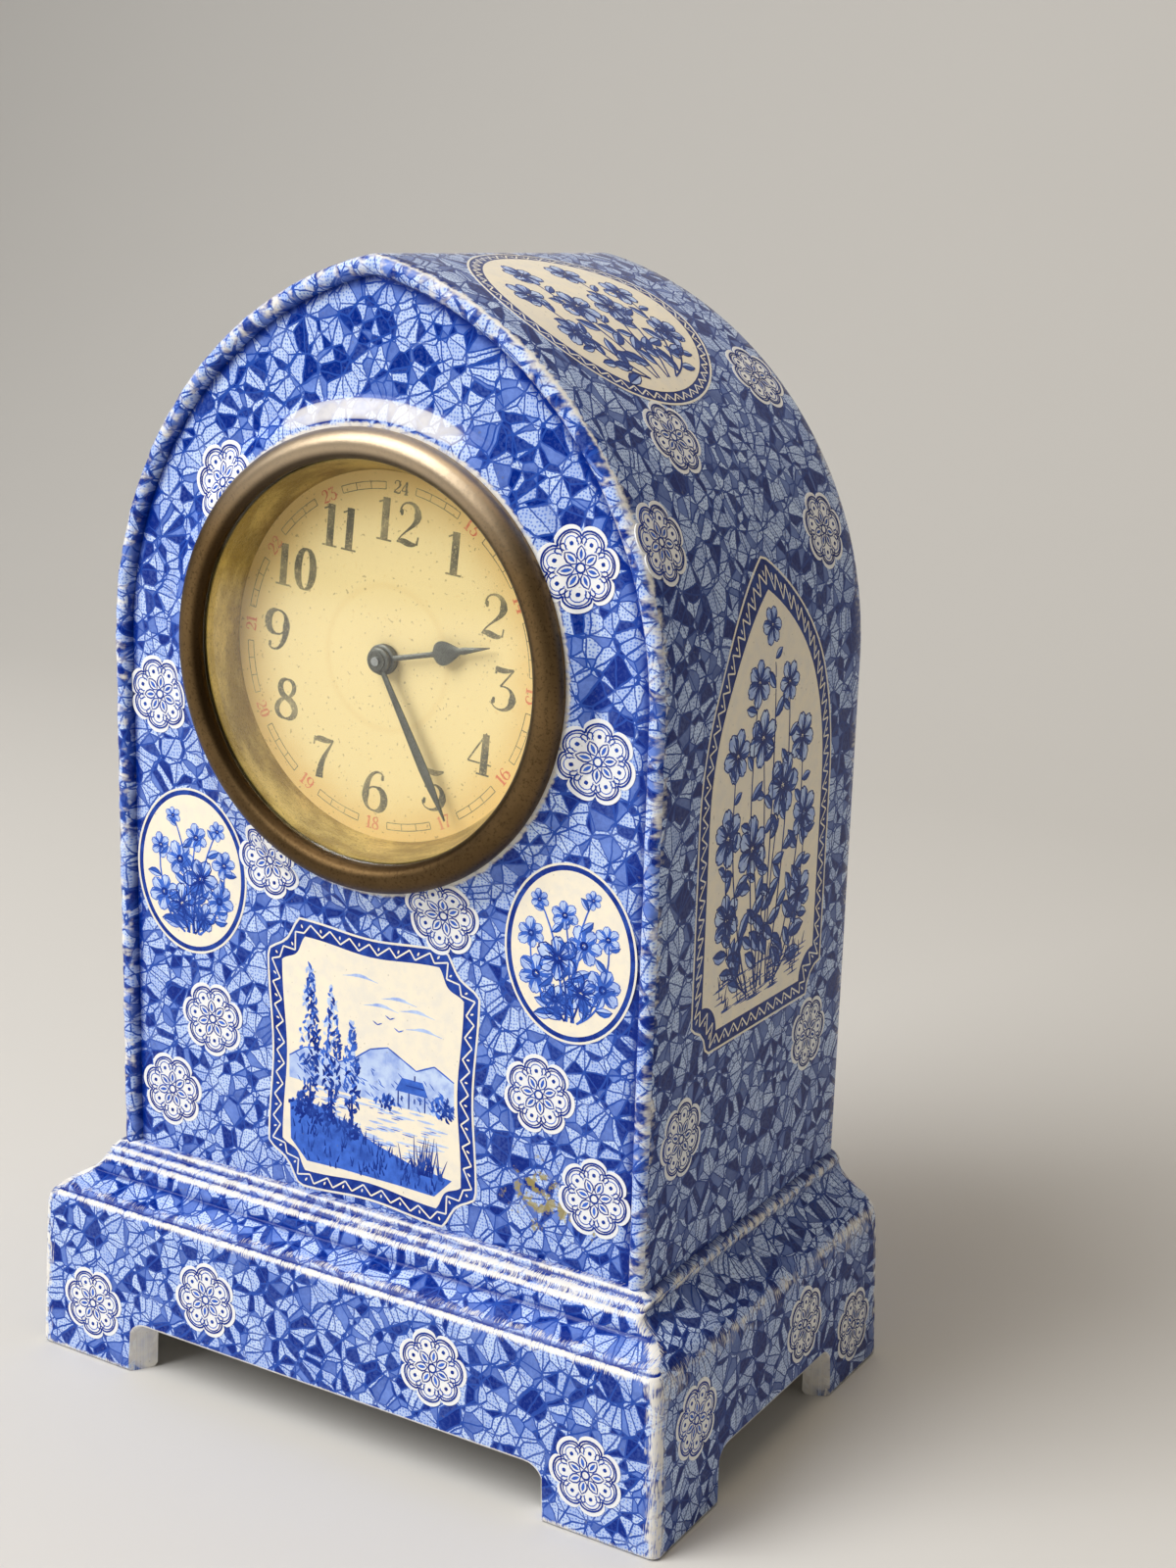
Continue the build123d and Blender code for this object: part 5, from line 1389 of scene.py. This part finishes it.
class CLOCK_OT_prints(bpy.types.Operator):
    """Lays the printed medallions and reserves on the case"""

    bl_idname = "clock.prints"
    bl_label = "Printed medallions"

    def execute(self, context):
        glaze = context.scene.clock_glaze
        work = Print()
        right, left = on_side(1), on_side(-1)
        end_r, end_l = on_plinth_side(1), on_plinth_side(-1)
        spots = [
            (
                on_front,
                [
                    (53, 210), (58.5, 169.5), (-62, 168), (-40.5, 220), (20, 128.5), (-29, 133), (46, 92), (-47, 90),
                    (61, 71), (-60, 69)
                ]
            ),
            (right, [(-33, 217), (-10, 239), (41, 212), (-27, 84), (36, 90), (44, 252)]),
            (left, [(30, 215), (6, 240), (-40, 212), (24, 84), (-34, 91), (-44, 252)]),
            (on_plinth_front, [(-72, 15), (-36, 26), (30, 28), (71, 15)]),
            (end_r, [(-40, 26), (14, 26), (42, 14)]),
            (end_l, [(-42, 14), (-12, 25), (38, 26)]),
        ]
        for host, places in spots:
            for k, spot in enumerate(places):
                rosette(
                    work, host, spot, turn=0.5 * k,
                    rings=30 if host is on_front and math.dist(spot, (0, DIAL_Z)) < 70 else 3
                )
        self.ovals(work)
        self.centre_panel(work)
        for host, seed in ((right, 31), (left, 47)):
            self.tall_panel(work, host, seed)
            self.crown_oval(work, host, seed + 5)
        looks = {
            # A fifth value darkens that tone on the sides: painted shade, with a deeper print.
            "ground": ("Dark print ground", glaze.dark, glaze.mid, 0.35, glaze.deep),
            "ivory_line": ("Ivory border line", glaze.ivory, glaze.pale, 0.4),
            "ivory": ("Ivory reserve", glaze.ivory, shade(226, 224, 220), 0.35),
            "white": ("White medallion", shade(251, 250, 247), glaze.pale, 0.15),
            "pale": ("Pale print", glaze.pale, glaze.mid, 0.5),
            "mid": ("Mid print", glaze.mid, glaze.dark, 0.5, glaze.deep),
            "dark": ("Dark print", glaze.dark, glaze.mid, 0.4, glaze.deep),
            "line": ("Fine dark print", glaze.dark, glaze.mid, 0.2, glaze.deep),
        }
        for tone, skin in work.skins.items():
            name, *look = looks[tone]
            piece("print_" + tone, skin, plain_print(name, glaze, *look), "case")
        return {"FINISHED"}

    def ovals(self, work):
        """Two upright ovals, each with a loose bunch of open flowers on leafy stems, lightly drawn."""
        stems = (
            ((-8, 11), 0.1, 5, 2.4), ((5.5, 13), -0.1, 5, 2.2), ((-1.5, 8.5), 0.05, 4, 3.4), ((9.5, 5), 0.16, 4, 3.2),
            ((-10, 3), -0.16, 4, 3.6),
            ((-8.5, -6), -0.15, 3, 4.6), ((8.5, -6.5), 0.18, 3, 4.6), ((3.5, 2.5), -0.08, 4, 4.6),
            ((-3, -1.5), 0.1, 3, 5.4), ((3, -8.5), 0.05, 2, 4.8), ((-3.5, -11), -0.1, 2, 3.8),
        )
        for side, seed in ((1, 3), (-1, 31)):
            centre = np.array((53.0 * side, 126.0))
            reserve(work, on_front, centre, lambda i: ellipse(16.2 - i, 19.8 - i), 1.1, 0, 8)
            for k, (tip, bow, leaves, bloom) in enumerate(stems):
                tip = np.array((tip[0] * side, tip[1]))
                sprig(
                    work, on_front, centre + (0.25 * tip[0], -15.5), centre + tip, bow * side, leaves, 5.0, bloom,
                    seed + k, "mid" if k < 8 else "dark"
                )

    def centre_panel(self, work):
        """The panel under the dial: a lake below hills, with slim poplars on the near bank and a small house across the
        water."""
        centre = np.array((0.0, 87.0))
        host = on_front
        reserve(work, host, centre, lambda i: eight_sided(29.5 - i, 33 - i, 9 - 0.586 * i, 1.4), 3.8, 40, 8)
        rng = np.random.default_rng(5)
        hills = np.array(
            [
                (-23.6, -1), (-19, 2), (-15, 2.6), (-9, 0.5), (-5, 2), (0, 5.6), (5, 7), (9, 5), (13, 3), (18, 5.2),
                (23.4, 2.5), (23.6, -6.5), (8, -6.8), (-8, -6.8), (-23.6, -6.5)
            ]
        )
        work.plate("pale", host, centre + (0, -6.4), hills - (0, -6.4))
        slope = scatter(rng, 70, -22, 22, -6, 1.5)
        work.draw(
            "mid", host, straight(slope, slope + scatter(rng, 70, 0.8, 2.2, -1.6, -0.4)), (0.05, 0.16, 0.04), centre, 3
        )
        ridge = straight(hills[:10], hills[1:11])
        work.draw("mid", host, ridge, (0.14, 0.2, 0.14), centre, 3)
        water = scatter(rng, 80, -19, 17, -19, -7)
        work.draw(
            "pale", host, straight(water, water + np.stack((rng.uniform(2, 6, 80), 0 * water[:, 0]), -1)),
            (0.06, 0.3, 0.06), centre, 3
        )
        work.draw(
            "mid", host,
            straight(water[::2] - (0, 0.5), water[::2] + np.stack((rng.uniform(1, 3.5, 40), np.full(40, -0.5)), -1)),
            (0.04, 0.13, 0.04), centre, 3
        )
        house = np.array([(8, -6.6), (8, -2.6), (15.5, -2.6), (15.5, -6.6)]) - (11.75, -4.6)
        work.plate("ivory", host, centre + (11.75, -4.6), house)
        roof = np.array([(7.2, -2.8), (9, 0.6), (14.8, 0.6), (16.4, -2.8)]) - (11.75, -1.2)
        work.plate("mid", host, centre + (11.75, -1.2), roof)
        frame_lines = straight(
            [(8, -6.6), (15.5, -6.6), (11, -6.6), (9, -5), (12.6, -5), (14.2, -5), (10.2, -1), (12.6, 1.8)],
            [(8, -2.8), (15.5, -2.8), (11, -2.8), (9, -3.8), (12.6, -3.8), (14.2, -3.8), (15.2, -1), (12.6, 0.4)]
        )
        work.draw("dark", host, frame_lines, (0.16, 0.2, 0.16), centre, 3)
        bank = np.array(
            [
                (-23.4, -12.5), (-17, -11.5), (-8, -14), (2, -17.6), (12, -20.2), (23.2, -21.4), (18.4, -26.4),
                (8, -26.2), (-8, -26.2), (-18.4, -26.6), (-23.2, -22)
            ]
        )
        work.plate("mid", host, centre + (-3, -21), bank - (-3, -21))
        for at, wide, high, count, light in (
            ((20.2, -4.6), 3.2, 3.2, 60, 0.3), ((4.6, -6.2), 3, 1.6, 40, 0.3), ((-17.5, 5.5), 3.0, 17.5, 190, 0.2),
            ((-11.2, 3), 2.8, 15.5, 170, 0.2), ((-5.2, -1), 2.4, 12, 130, 0.1), ((-20, -12.5), 3.6, 3, 70, 0.8),
            ((-13.5, -14), 4.2, 2.6, 70, 0.8), ((-6, -15.8), 4, 2.2, 60, 0.6)
        ):
            foliage(work, host, centre + at, wide, high, count, int(rng.integers(1000)), light)
        trunks = straight([(-17.5, -13), (-11.2, -14), (-5.2, -15)], [(-17.4, -6), (-11.2, -6), (-5.2, -7)])
        work.draw("dark", host, trunks, (0.5, 0.34, 0.2), centre, 3)
        grass = scatter(rng, 230, -22.5, 21, 0, 1)
        top = np.interp(grass[:, 0], bank[:6, 0], bank[:6, 1])
        floor = np.where(np.abs(grass[:, 0]) > 18, np.abs(grass[:, 0]) - 45, -26.5)
        grass[:, 1] = floor + (top - floor) * grass[:, 1]
        blade = grass + scatter(rng, 230, -0.8, 0.8, 1.0, 2.8)
        work.draw("dark", host, straight(grass, blade)[:150], (0.24, 0.17, 0.03), centre, 3)
        work.draw("pale", host, straight(grass, blade)[150:] - (0.3, 0), (0.16, 0.16, 0.03), centre, 3)
        reeds = np.stack((rng.uniform(9, 20, 26), np.full(26, -22.0)), -1)
        work.draw(
            "dark", host, straight(reeds, reeds + scatter(rng, 26, -1.5, 2.5, 4, 10)), (0.2, 0.16, 0.03), centre, 4
        )
        cloud = np.array([(3, 17), (8, 19.5), (13, 17.5), (-3, 23), (15, 13.5)])
        for width in (3.0, 5.0):
            work.draw(
                "pale", host,
                straight(
                    cloud - (width, 0.2 * width), cloud + (width, -0.2 * width)
                ) + np.array((0, 0.8, 0.8, 0))[None, :, None] * (0, 1),
                (0.04, 0.22, 0.04), centre, 5
            )
        wing = np.array([(2, 12), (5.5, 14), (8, 11.5)])
        work.draw(
            "mid", host, np.concatenate((straight(wing, wing + (1.3, 0.6)), straight(wing, wing + (-1.3, 0.7)))),
            (0.12, 0.16, 0.04), centre, 3
        )

    def tall_panel(self, work, host, seed):
        """A pointed panel on a side wall with a climbing plant."""
        centre = np.array((8.0, 152.0))
        reserve(work, host, centre, lambda i: lancet_panel(32 - i, 57 - 1.7 * i, 2, 51 - i, 7), 4.2, 64, 20)
        ground_hatch(work, host, centre + (0, -36), 22, 8, 90, seed)
        sprays = (
            ((-18, -22), -0.2, 7, 6.0), ((18, -24), 0.2, 7, 6.0), ((-19, -3), -0.14, 8, 6.6), ((19, -5), 0.14, 8, 6.6),
            ((-16, 15), -0.1, 9, 6.2), ((16, 14), 0.1, 9, 6.2), ((-7, 30), -0.06, 9, 5.6), ((8, 28), 0.06, 9, 5.2),
            ((0, 42), 0.03, 10, 4.6), ((-7, -8), 0.06, 6, 7.4), ((7, 4), -0.06, 6, 7.6), ((-4, 17), 0.04, 6, 6.8)
        )
        bunch(work, host, centre, sprays, 42, 0.4, 7.6, seed)

    def crown_oval(self, work, host, seed):
        """An oval on the slope of the arch with a loose spray."""
        centre = np.array((2.0, 276.0))
        reserve(work, host, centre, lambda i: ellipse(33 - i, 29 - i), 3.0, 48, 16)
        sprays = (
            ((-19, -7), -0.2, 6, 5.4), ((19, -8), 0.2, 6, 5.4), ((-19, 7), -0.14, 7, 5.4), ((19, 7), 0.14, 7, 5.4),
            ((-9, 16), -0.1, 7, 5.2), ((9, 16), 0.1, 7, 5.2), ((-6, 2), 0.1, 5, 6.4), ((7, 1), -0.1, 5, 6.2)
        )
        bunch(work, host, centre, sprays, 22, 0.3, 7.0, seed)


class CLOCK_OT_bezel(bpy.types.Operator):
    """Turns the bezel, the sight ring and the glass"""

    bl_idname = "clock.bezel"
    bl_label = "Bezel and glass"

    def execute(self, context):
        metals = context.scene.clock_metals
        skin = Skin()
        roll = np.concatenate(
            (arc((51.85, -43.3), (50.9, -45.8), (48.4, -47.0), 10), arc((48.4, -47.0), (46.4, -46.5), (45.1, -45.2), 8))
        )
        skin.add(
            turned(
                np.vstack(
                    (
                        [
                            (45.1, -44.2), (45.6, -44.2), (45.6, -33), (46.3, -33), (46.3, -42.6), (51.6, -42.6),
                            (51.85, -42.8), (51.85, -43.3)
                        ],
                        roll
                    )
                )
            ),
            loop_rows=True
        )
        piece("brass_bezel", skin, self.bronze(metals), "case", ("bezel",), sharp=40)
        skin = Skin()
        slope = np.stack((np.linspace(45.1, 42.4, 9), np.linspace(-41.9, -34.4, 9)), -1)
        skin.add(
            turned(np.vstack(([(44.7, -42.55), (45.4, -42.55), (45.45, -41.9)], slope, [(41.8, -34.4)]))),
            loop_rows=True
        )
        olive = metal(
            "Sight ring brass", metals.olive, shade(214, 194, 126), shade(84, 72, 44), 0.38, 2.2, 0.85, lathe=True
        )
        # A dark band at the sight ring's outer edge: patina with painted shade in the crevice by the bezel.
        grimed(olive, (0.0447, 0.0451, 0.0, 0.9), 0.0, 0.0)
        piece("brass_sight_ring", skin, olive, "case", ("sight_ring",), sharp=40)
        skin = Skin()
        r = np.linspace(GLASS_R, 0.05, 26)
        dome = GLASS_RISE * (1 - (r / GLASS_R) ** 2)
        inner, outer = (np.stack((r, edge - dome), -1) for edge in GLASS_EDGE)
        skin.add(turned(np.vstack((inner[::-1], outer))))
        piece("dial_window", skin, window_glass(), "case", ("dial_glass",), sharp=60)
        return {"FINISHED"}

    def bronze(self, metals):
        """Brown aged brass with a painted highlight on its top, painted shade low down, and patina with painted shade
        in its inner edge.
        """
        mat = metal("Aged bezel brass", metals.bronze, dim(metals.bronze, 1.35), dim(metals.bronze, 0.3), 0.42, 1.0)
        # Patina and painted shade in the inner edge, painted shade toward the foot, and a painted highlight on the top.
        grimed(mat, (0.0458, 0.0474, 0.85, 0.0), 0.55, 0.55)
        return mat


# Foot and top of the dial's ink over the paper, and half the width of the minute track.
INK = (-0.02, 0.02)
TRACK_INK = (-0.02, 0.016)
TRACK_HALF = 0.8


class CLOCK_OT_dial(bpy.types.Operator):
    """Prints the numbers and the minute track on the dial paper"""

    bl_idname = "clock.dial"
    bl_label = "Dial"

    def execute(self, context):
        dial = context.scene.clock_dial
        dress("paper_dial", dial_paper(dial))
        ring, track = dial.ring / MM, dial.track / MM
        big, red, fine = Skin(), Skin(), Skin()
        for hour in range(1, 13):
            angle = hour * TAU / 12
            out = np.array((math.sin(angle), math.cos(angle)))
            paths, widths = number(str(hour), dial.numeral / MM)
            strokes(big, on_dial, paths + out * ring, widths, *INK, 10)
            paths, widths = number(str(hour + 12), dial.small / MM)
            turn = angle if not 3 < hour < 9 else angle + math.pi
            c, s = math.cos(turn), math.sin(turn)
            paths = paths @ np.array(((c, -s), (s, c))) + out * track
            strokes(fine if hour == 12 else red, on_dial, paths, np.maximum(widths, 0.11), *INK, 5)
            cells = angle + np.radians((6, 12, 18, 24))
            way = np.stack((np.sin(cells), np.cos(cells)), -1)
            edges = np.array((track - TRACK_HALF, track + TRACK_HALF))
            lines = np.concatenate((straight(way * edges[0], way * edges[1]), around(edges, cells[:1], cells[-1:])))
            strokes(fine, on_dial, lines, np.full((len(lines), 3), 0.085), *TRACK_INK, 7)
        piece("hour_numbers", big, worn_ink("Numeral ink", dial.ink, dial.paper, 0.3), "case")
        piece("afternoon_numbers", red, worn_ink("Red ink", dial.red, dial.paper, 0.25), "case")
        piece("minute_track", fine, worn_ink("Track ink", dial.ink, dial.paper, 0.3), "case")
        return {"FINISHED"}


def hand(profile, turn, back, front, hub, bore, collet):
    """A flat hand: half-widths along its length carried between two depths with chamfered edges, and a turned hub whose
    collet stands out behind."""
    u, w = np.asarray(profile, float).T
    mid = (back * 2 + front * 3) / 5
    across = np.stack((-w, w, w, 0.55 * w, -0.55 * w, -w), -1)
    deep = np.array((back, back, mid, front, front, mid)) + 0 * across
    c, s = math.cos(turn), math.sin(turn)
    along = u[:, None] + 0 * across
    skin = Skin()
    skin.add(np.stack((along * s + across * c, deep, DIAL_Z + along * c - across * s), -1))
    lip = (front - back) * 0.4
    skin.add(
        turned(
            [
                (bore, collet), (hub - 0.1, collet), (hub, collet - 0.1), (hub, front - lip), (hub - 0.25, front),
                (bore, front)
            ],
            64
        ),
        loop_rows=True
    )
    return skin


class CLOCK_OT_hands(bpy.types.Operator):
    """Cuts the hour and minute hands"""

    bl_idname = "clock.hands"
    bl_label = "Hands"

    def execute(self, context):
        metals = context.scene.clock_metals
        steel = metal("Dull hand steel", metals.hands, dim(metals.hands, 1.5), dim(metals.hands, 0.3), 0.5, 2.0, 0.85)
        t = np.linspace(0, 1, 13)
        bulb = np.stack((14.2 + 7.8 * t, 0.62 + 2.1 * np.sin(np.pi * np.clip(t * 1.06, 0, 1) ** 0.62) ** 1.15), -1)
        hour = np.vstack(
            ([(2.9, 0.62), (9, 0.58), (13.4, 0.6)], bulb[:-1], [(22.2, 0.8), (25, 0.52), (27.5, 0.3), (29.2, 0.1)])
        )
        skin = hand(hour, HOUR_ANGLE, -36.1, -36.6, 3.5, 2.65, -35.0)
        piece("steel_hour_hand", skin, steel, "hour_hand_and_wheel", ("hour_hand",), sharp=40)
        minute = [
            (2.3, 0.6), (8, 0.74), (15, 0.92), (22, 1.1), (26, 1.18), (31, 0.93), (35, 0.5), (37.5, 0.22), (38.5, 0.08)
        ]
        skin = hand(minute, MINUTE_ANGLE, -37.4, -37.9, 2.9, 1.85, -36.95)
        piece("steel_minute_hand", skin, steel, "hands_arbor", ("minute_hand",), sharp=40)
        return {"FINISHED"}


class CLOCK_OT_movement(bpy.types.Operator):
    """Gives the movement, the tin housing and the rear fittings their metals"""

    bl_idname = "clock.movement"
    bl_label = "Movement metals"

    def execute(self, context):
        metals = context.scene.clock_metals
        finish = {
            "aged_brass": metal("Rear ring brass", metals.bronze, metals.gold, dim(metals.bronze, 0.4), 0.36),
            "movement_brass": metal(
                "Movement brass", metals.brass, dim(metals.brass, 1.1), dim(metals.brass, 0.5), 0.3
            ),
            "movement_steel": metal(
                "Movement steel", metals.steel, dim(metals.steel, 1.15), dim(metals.steel, 0.45), 0.3
            ),
            "dull_steel": metal(
                "Dull steel fittings", metals.hands, dim(metals.hands, 1.5), dim(metals.hands, 0.4), 0.42
            ),
            "spring_steel": metal(
                "Blued spring steel", shade(62, 70, 104), shade(88, 98, 136), shade(30, 32, 44), 0.28
            ),
            "tinplate": metal("Tinplate", metals.tin, dim(metals.tin, 1.15), shade(118, 104, 84), 0.42),
        }
        slots = {part["node"]: part["material_slot"] for part in frame["record"]["subparts"]}
        slots["hand_washer"] = "dull_steel"
        for node, slot in slots.items():
            if slot in finish:
                dress(node, finish[slot])
        return {"FINISHED"}


# The camera: degrees right of the front, above it and of roll; the point it is set by, in millimetres; metres from
# there.
VIEW_ANGLES = (30.735, 14.102, 1.723)
VIEW_POINT = (32.43, 0, 152.7)
VIEW_DISTANCE = 0.5339
# Where the lamps aim, in metres.
LAMP_AIM = (0, 0, 0.14)


class CLOCK_OT_stage(bpy.types.Operator):
    """Sets the pale floor, the soft lamps and the camera"""

    bl_idname = "clock.stage"
    bl_label = "Stage"

    def execute(self, context):
        scene, stage = context.scene, context.scene.clock_stage
        scene.view_settings.view_transform = "Standard"
        self.floor(scene, stage)
        self.lamp(scene, "key_lamp", (-0.74, -1.08, 1.42), (1.1, 1.7), stage.key)
        self.lamp(scene, "fill_lamp", (1.5, -0.5, 0.75), (0.9, 0.9), stage.fill, (1, 0.86, 0.68))
        self.lamp(scene, "top_lamp", (0.12, 0.0, 1.75), (1.0, 1.0), stage.top, (1, 0.84, 0.64))
        world = bpy.data.worlds.new("room")
        world.use_nodes = True
        light = world.node_tree.nodes["Background"].inputs
        light["Color"].default_value = (1, 0.96, 0.9, 1)
        light["Strength"].default_value = stage.sky
        scene.world = world
        self.camera(scene, stage.lens)
        return {"FINISHED"}

    def floor(self, scene, stage):
        """A floor that sweeps up into a backdrop: a quarter round profile carried sideways."""
        turn = np.linspace(0, math.pi / 2, 16)
        near, flat_to, bend, top, side, columns = -3.0, 0.6, 0.9, 3.2, 3, 9
        y = np.concatenate(([near, flat_to], flat_to + bend * np.sin(turn[1:]), [flat_to + bend]))
        z = np.concatenate(([0, 0], bend - bend * np.cos(turn[1:]), [top]))
        grid = np.stack(np.broadcast_arrays(np.linspace(-side, side, columns), y[:, None], z[:, None]), -1)
        r, c = np.meshgrid(np.arange(len(y) - 1), np.arange(columns - 1), indexing="ij")
        first = r * columns + c
        quads = np.stack((first, first + 1, first + columns + 1, first + columns), -1).reshape(-1, 4)
        data = bpy.data.meshes.new("floor")
        data.from_pydata(grid.reshape(-1, 3).tolist(), [], quads.tolist())
        data.polygons.foreach_set("use_smooth", np.ones(len(quads), bool))
        mat, n, shader, _ = material("Pale floor")
        soft = n.noise(n.place(), 3.0, 2.0)
        n.put(shader.inputs["Base Color"], n.mix(n.times(soft, 0.2), tuple(stage.floor), dim(stage.floor, 0.9)))
        shader.inputs["Roughness"].default_value = 0.8
        data.materials.append(mat)
        obj = bpy.data.objects.new("floor", data)
        scene.collection.objects.link(obj)

    def lamp(self, scene, name, at, size, power, tint=(1, 1, 1)):
        """A soft lamp, by width and height, aimed at the clock."""
        data = bpy.data.lights.new(name, "AREA")
        data.shape, data.energy = "RECTANGLE", power
        data.size, data.size_y = size
        data.color = tint
        obj = bpy.data.objects.new(name, data)
        obj.location = at
        obj.rotation_euler = (Vector(LAMP_AIM) - Vector(at)).to_track_quat("-Z", "Y").to_euler()
        scene.collection.objects.link(obj)

    def camera(self, scene, lens):
        """A camera at the angle from which the clock is usually shown: right of the front, a little above, rolled
        slightly."""
        az, el, roll = (math.radians(v) for v in VIEW_ANGLES)
        back = np.array((math.sin(az) * math.cos(el), -math.cos(az) * math.cos(el), math.sin(el)))
        right = np.cross(-back, (0, 0, 1))
        right /= np.linalg.norm(right)
        up = np.cross(right, -back)
        c, s = math.cos(roll), math.sin(roll)
        at = np.array(VIEW_POINT) * MM + back * VIEW_DISTANCE
        data = bpy.data.cameras.new("camera")
        data.lens, data.sensor_width, data.clip_start = lens, 36.0, 0.01
        obj = bpy.data.objects.new("camera", data)
        turn = np.column_stack((c * right + s * up, -s * right + c * up, back, at))
        obj.matrix_world = Matrix(np.vstack((turn, (0, 0, 0, 1))).tolist())
        scene.collection.objects.link(obj)
        scene.camera = obj


class CLOCK_PT_panel(bpy.types.Panel):
    """Lists the pieces of the clock"""

    bl_label = "Beehive shelf clock"
    bl_idname = "CLOCK_PT_panel"
    bl_space_type = "VIEW_3D"
    bl_region_type = "UI"
    bl_category = "Clock"

    def draw(self, context):
        for operator in OPERATORS:
            self.layout.operator(operator.bl_idname)
        for settings in SETTINGS:
            box = self.layout.box()
            for key in SETTINGS[settings].__annotations__:
                box.prop(getattr(context.scene, settings), key)


SETTINGS = {
    "clock_glaze": GlazeSettings, "clock_dial": DialSettings, "clock_metals": MetalSettings,
    "clock_stage": StageSettings
}
OPERATORS = (
    CLOCK_OT_case, CLOCK_OT_prints, CLOCK_OT_bezel, CLOCK_OT_dial, CLOCK_OT_hands, CLOCK_OT_movement, CLOCK_OT_stage
)


def register():
    for cls in (*SETTINGS.values(), *OPERATORS, CLOCK_PT_panel):
        bpy.utils.register_class(cls)
    for name, cls in SETTINGS.items():
        setattr(bpy.types.Scene, name, bpy.props.PointerProperty(type=cls))


def unregister():
    for name in SETTINGS:
        delattr(bpy.types.Scene, name)
    for cls in reversed((*SETTINGS.values(), *OPERATORS, CLOCK_PT_panel)):
        bpy.utils.unregister_class(cls)


def main():
    register()
    for step in ("case", "prints", "bezel", "dial", "hands", "movement", "stage"):
        getattr(bpy.ops.clock, step)()
    bpy.context.view_layer.update()


if __name__ == "__main__":
    main()
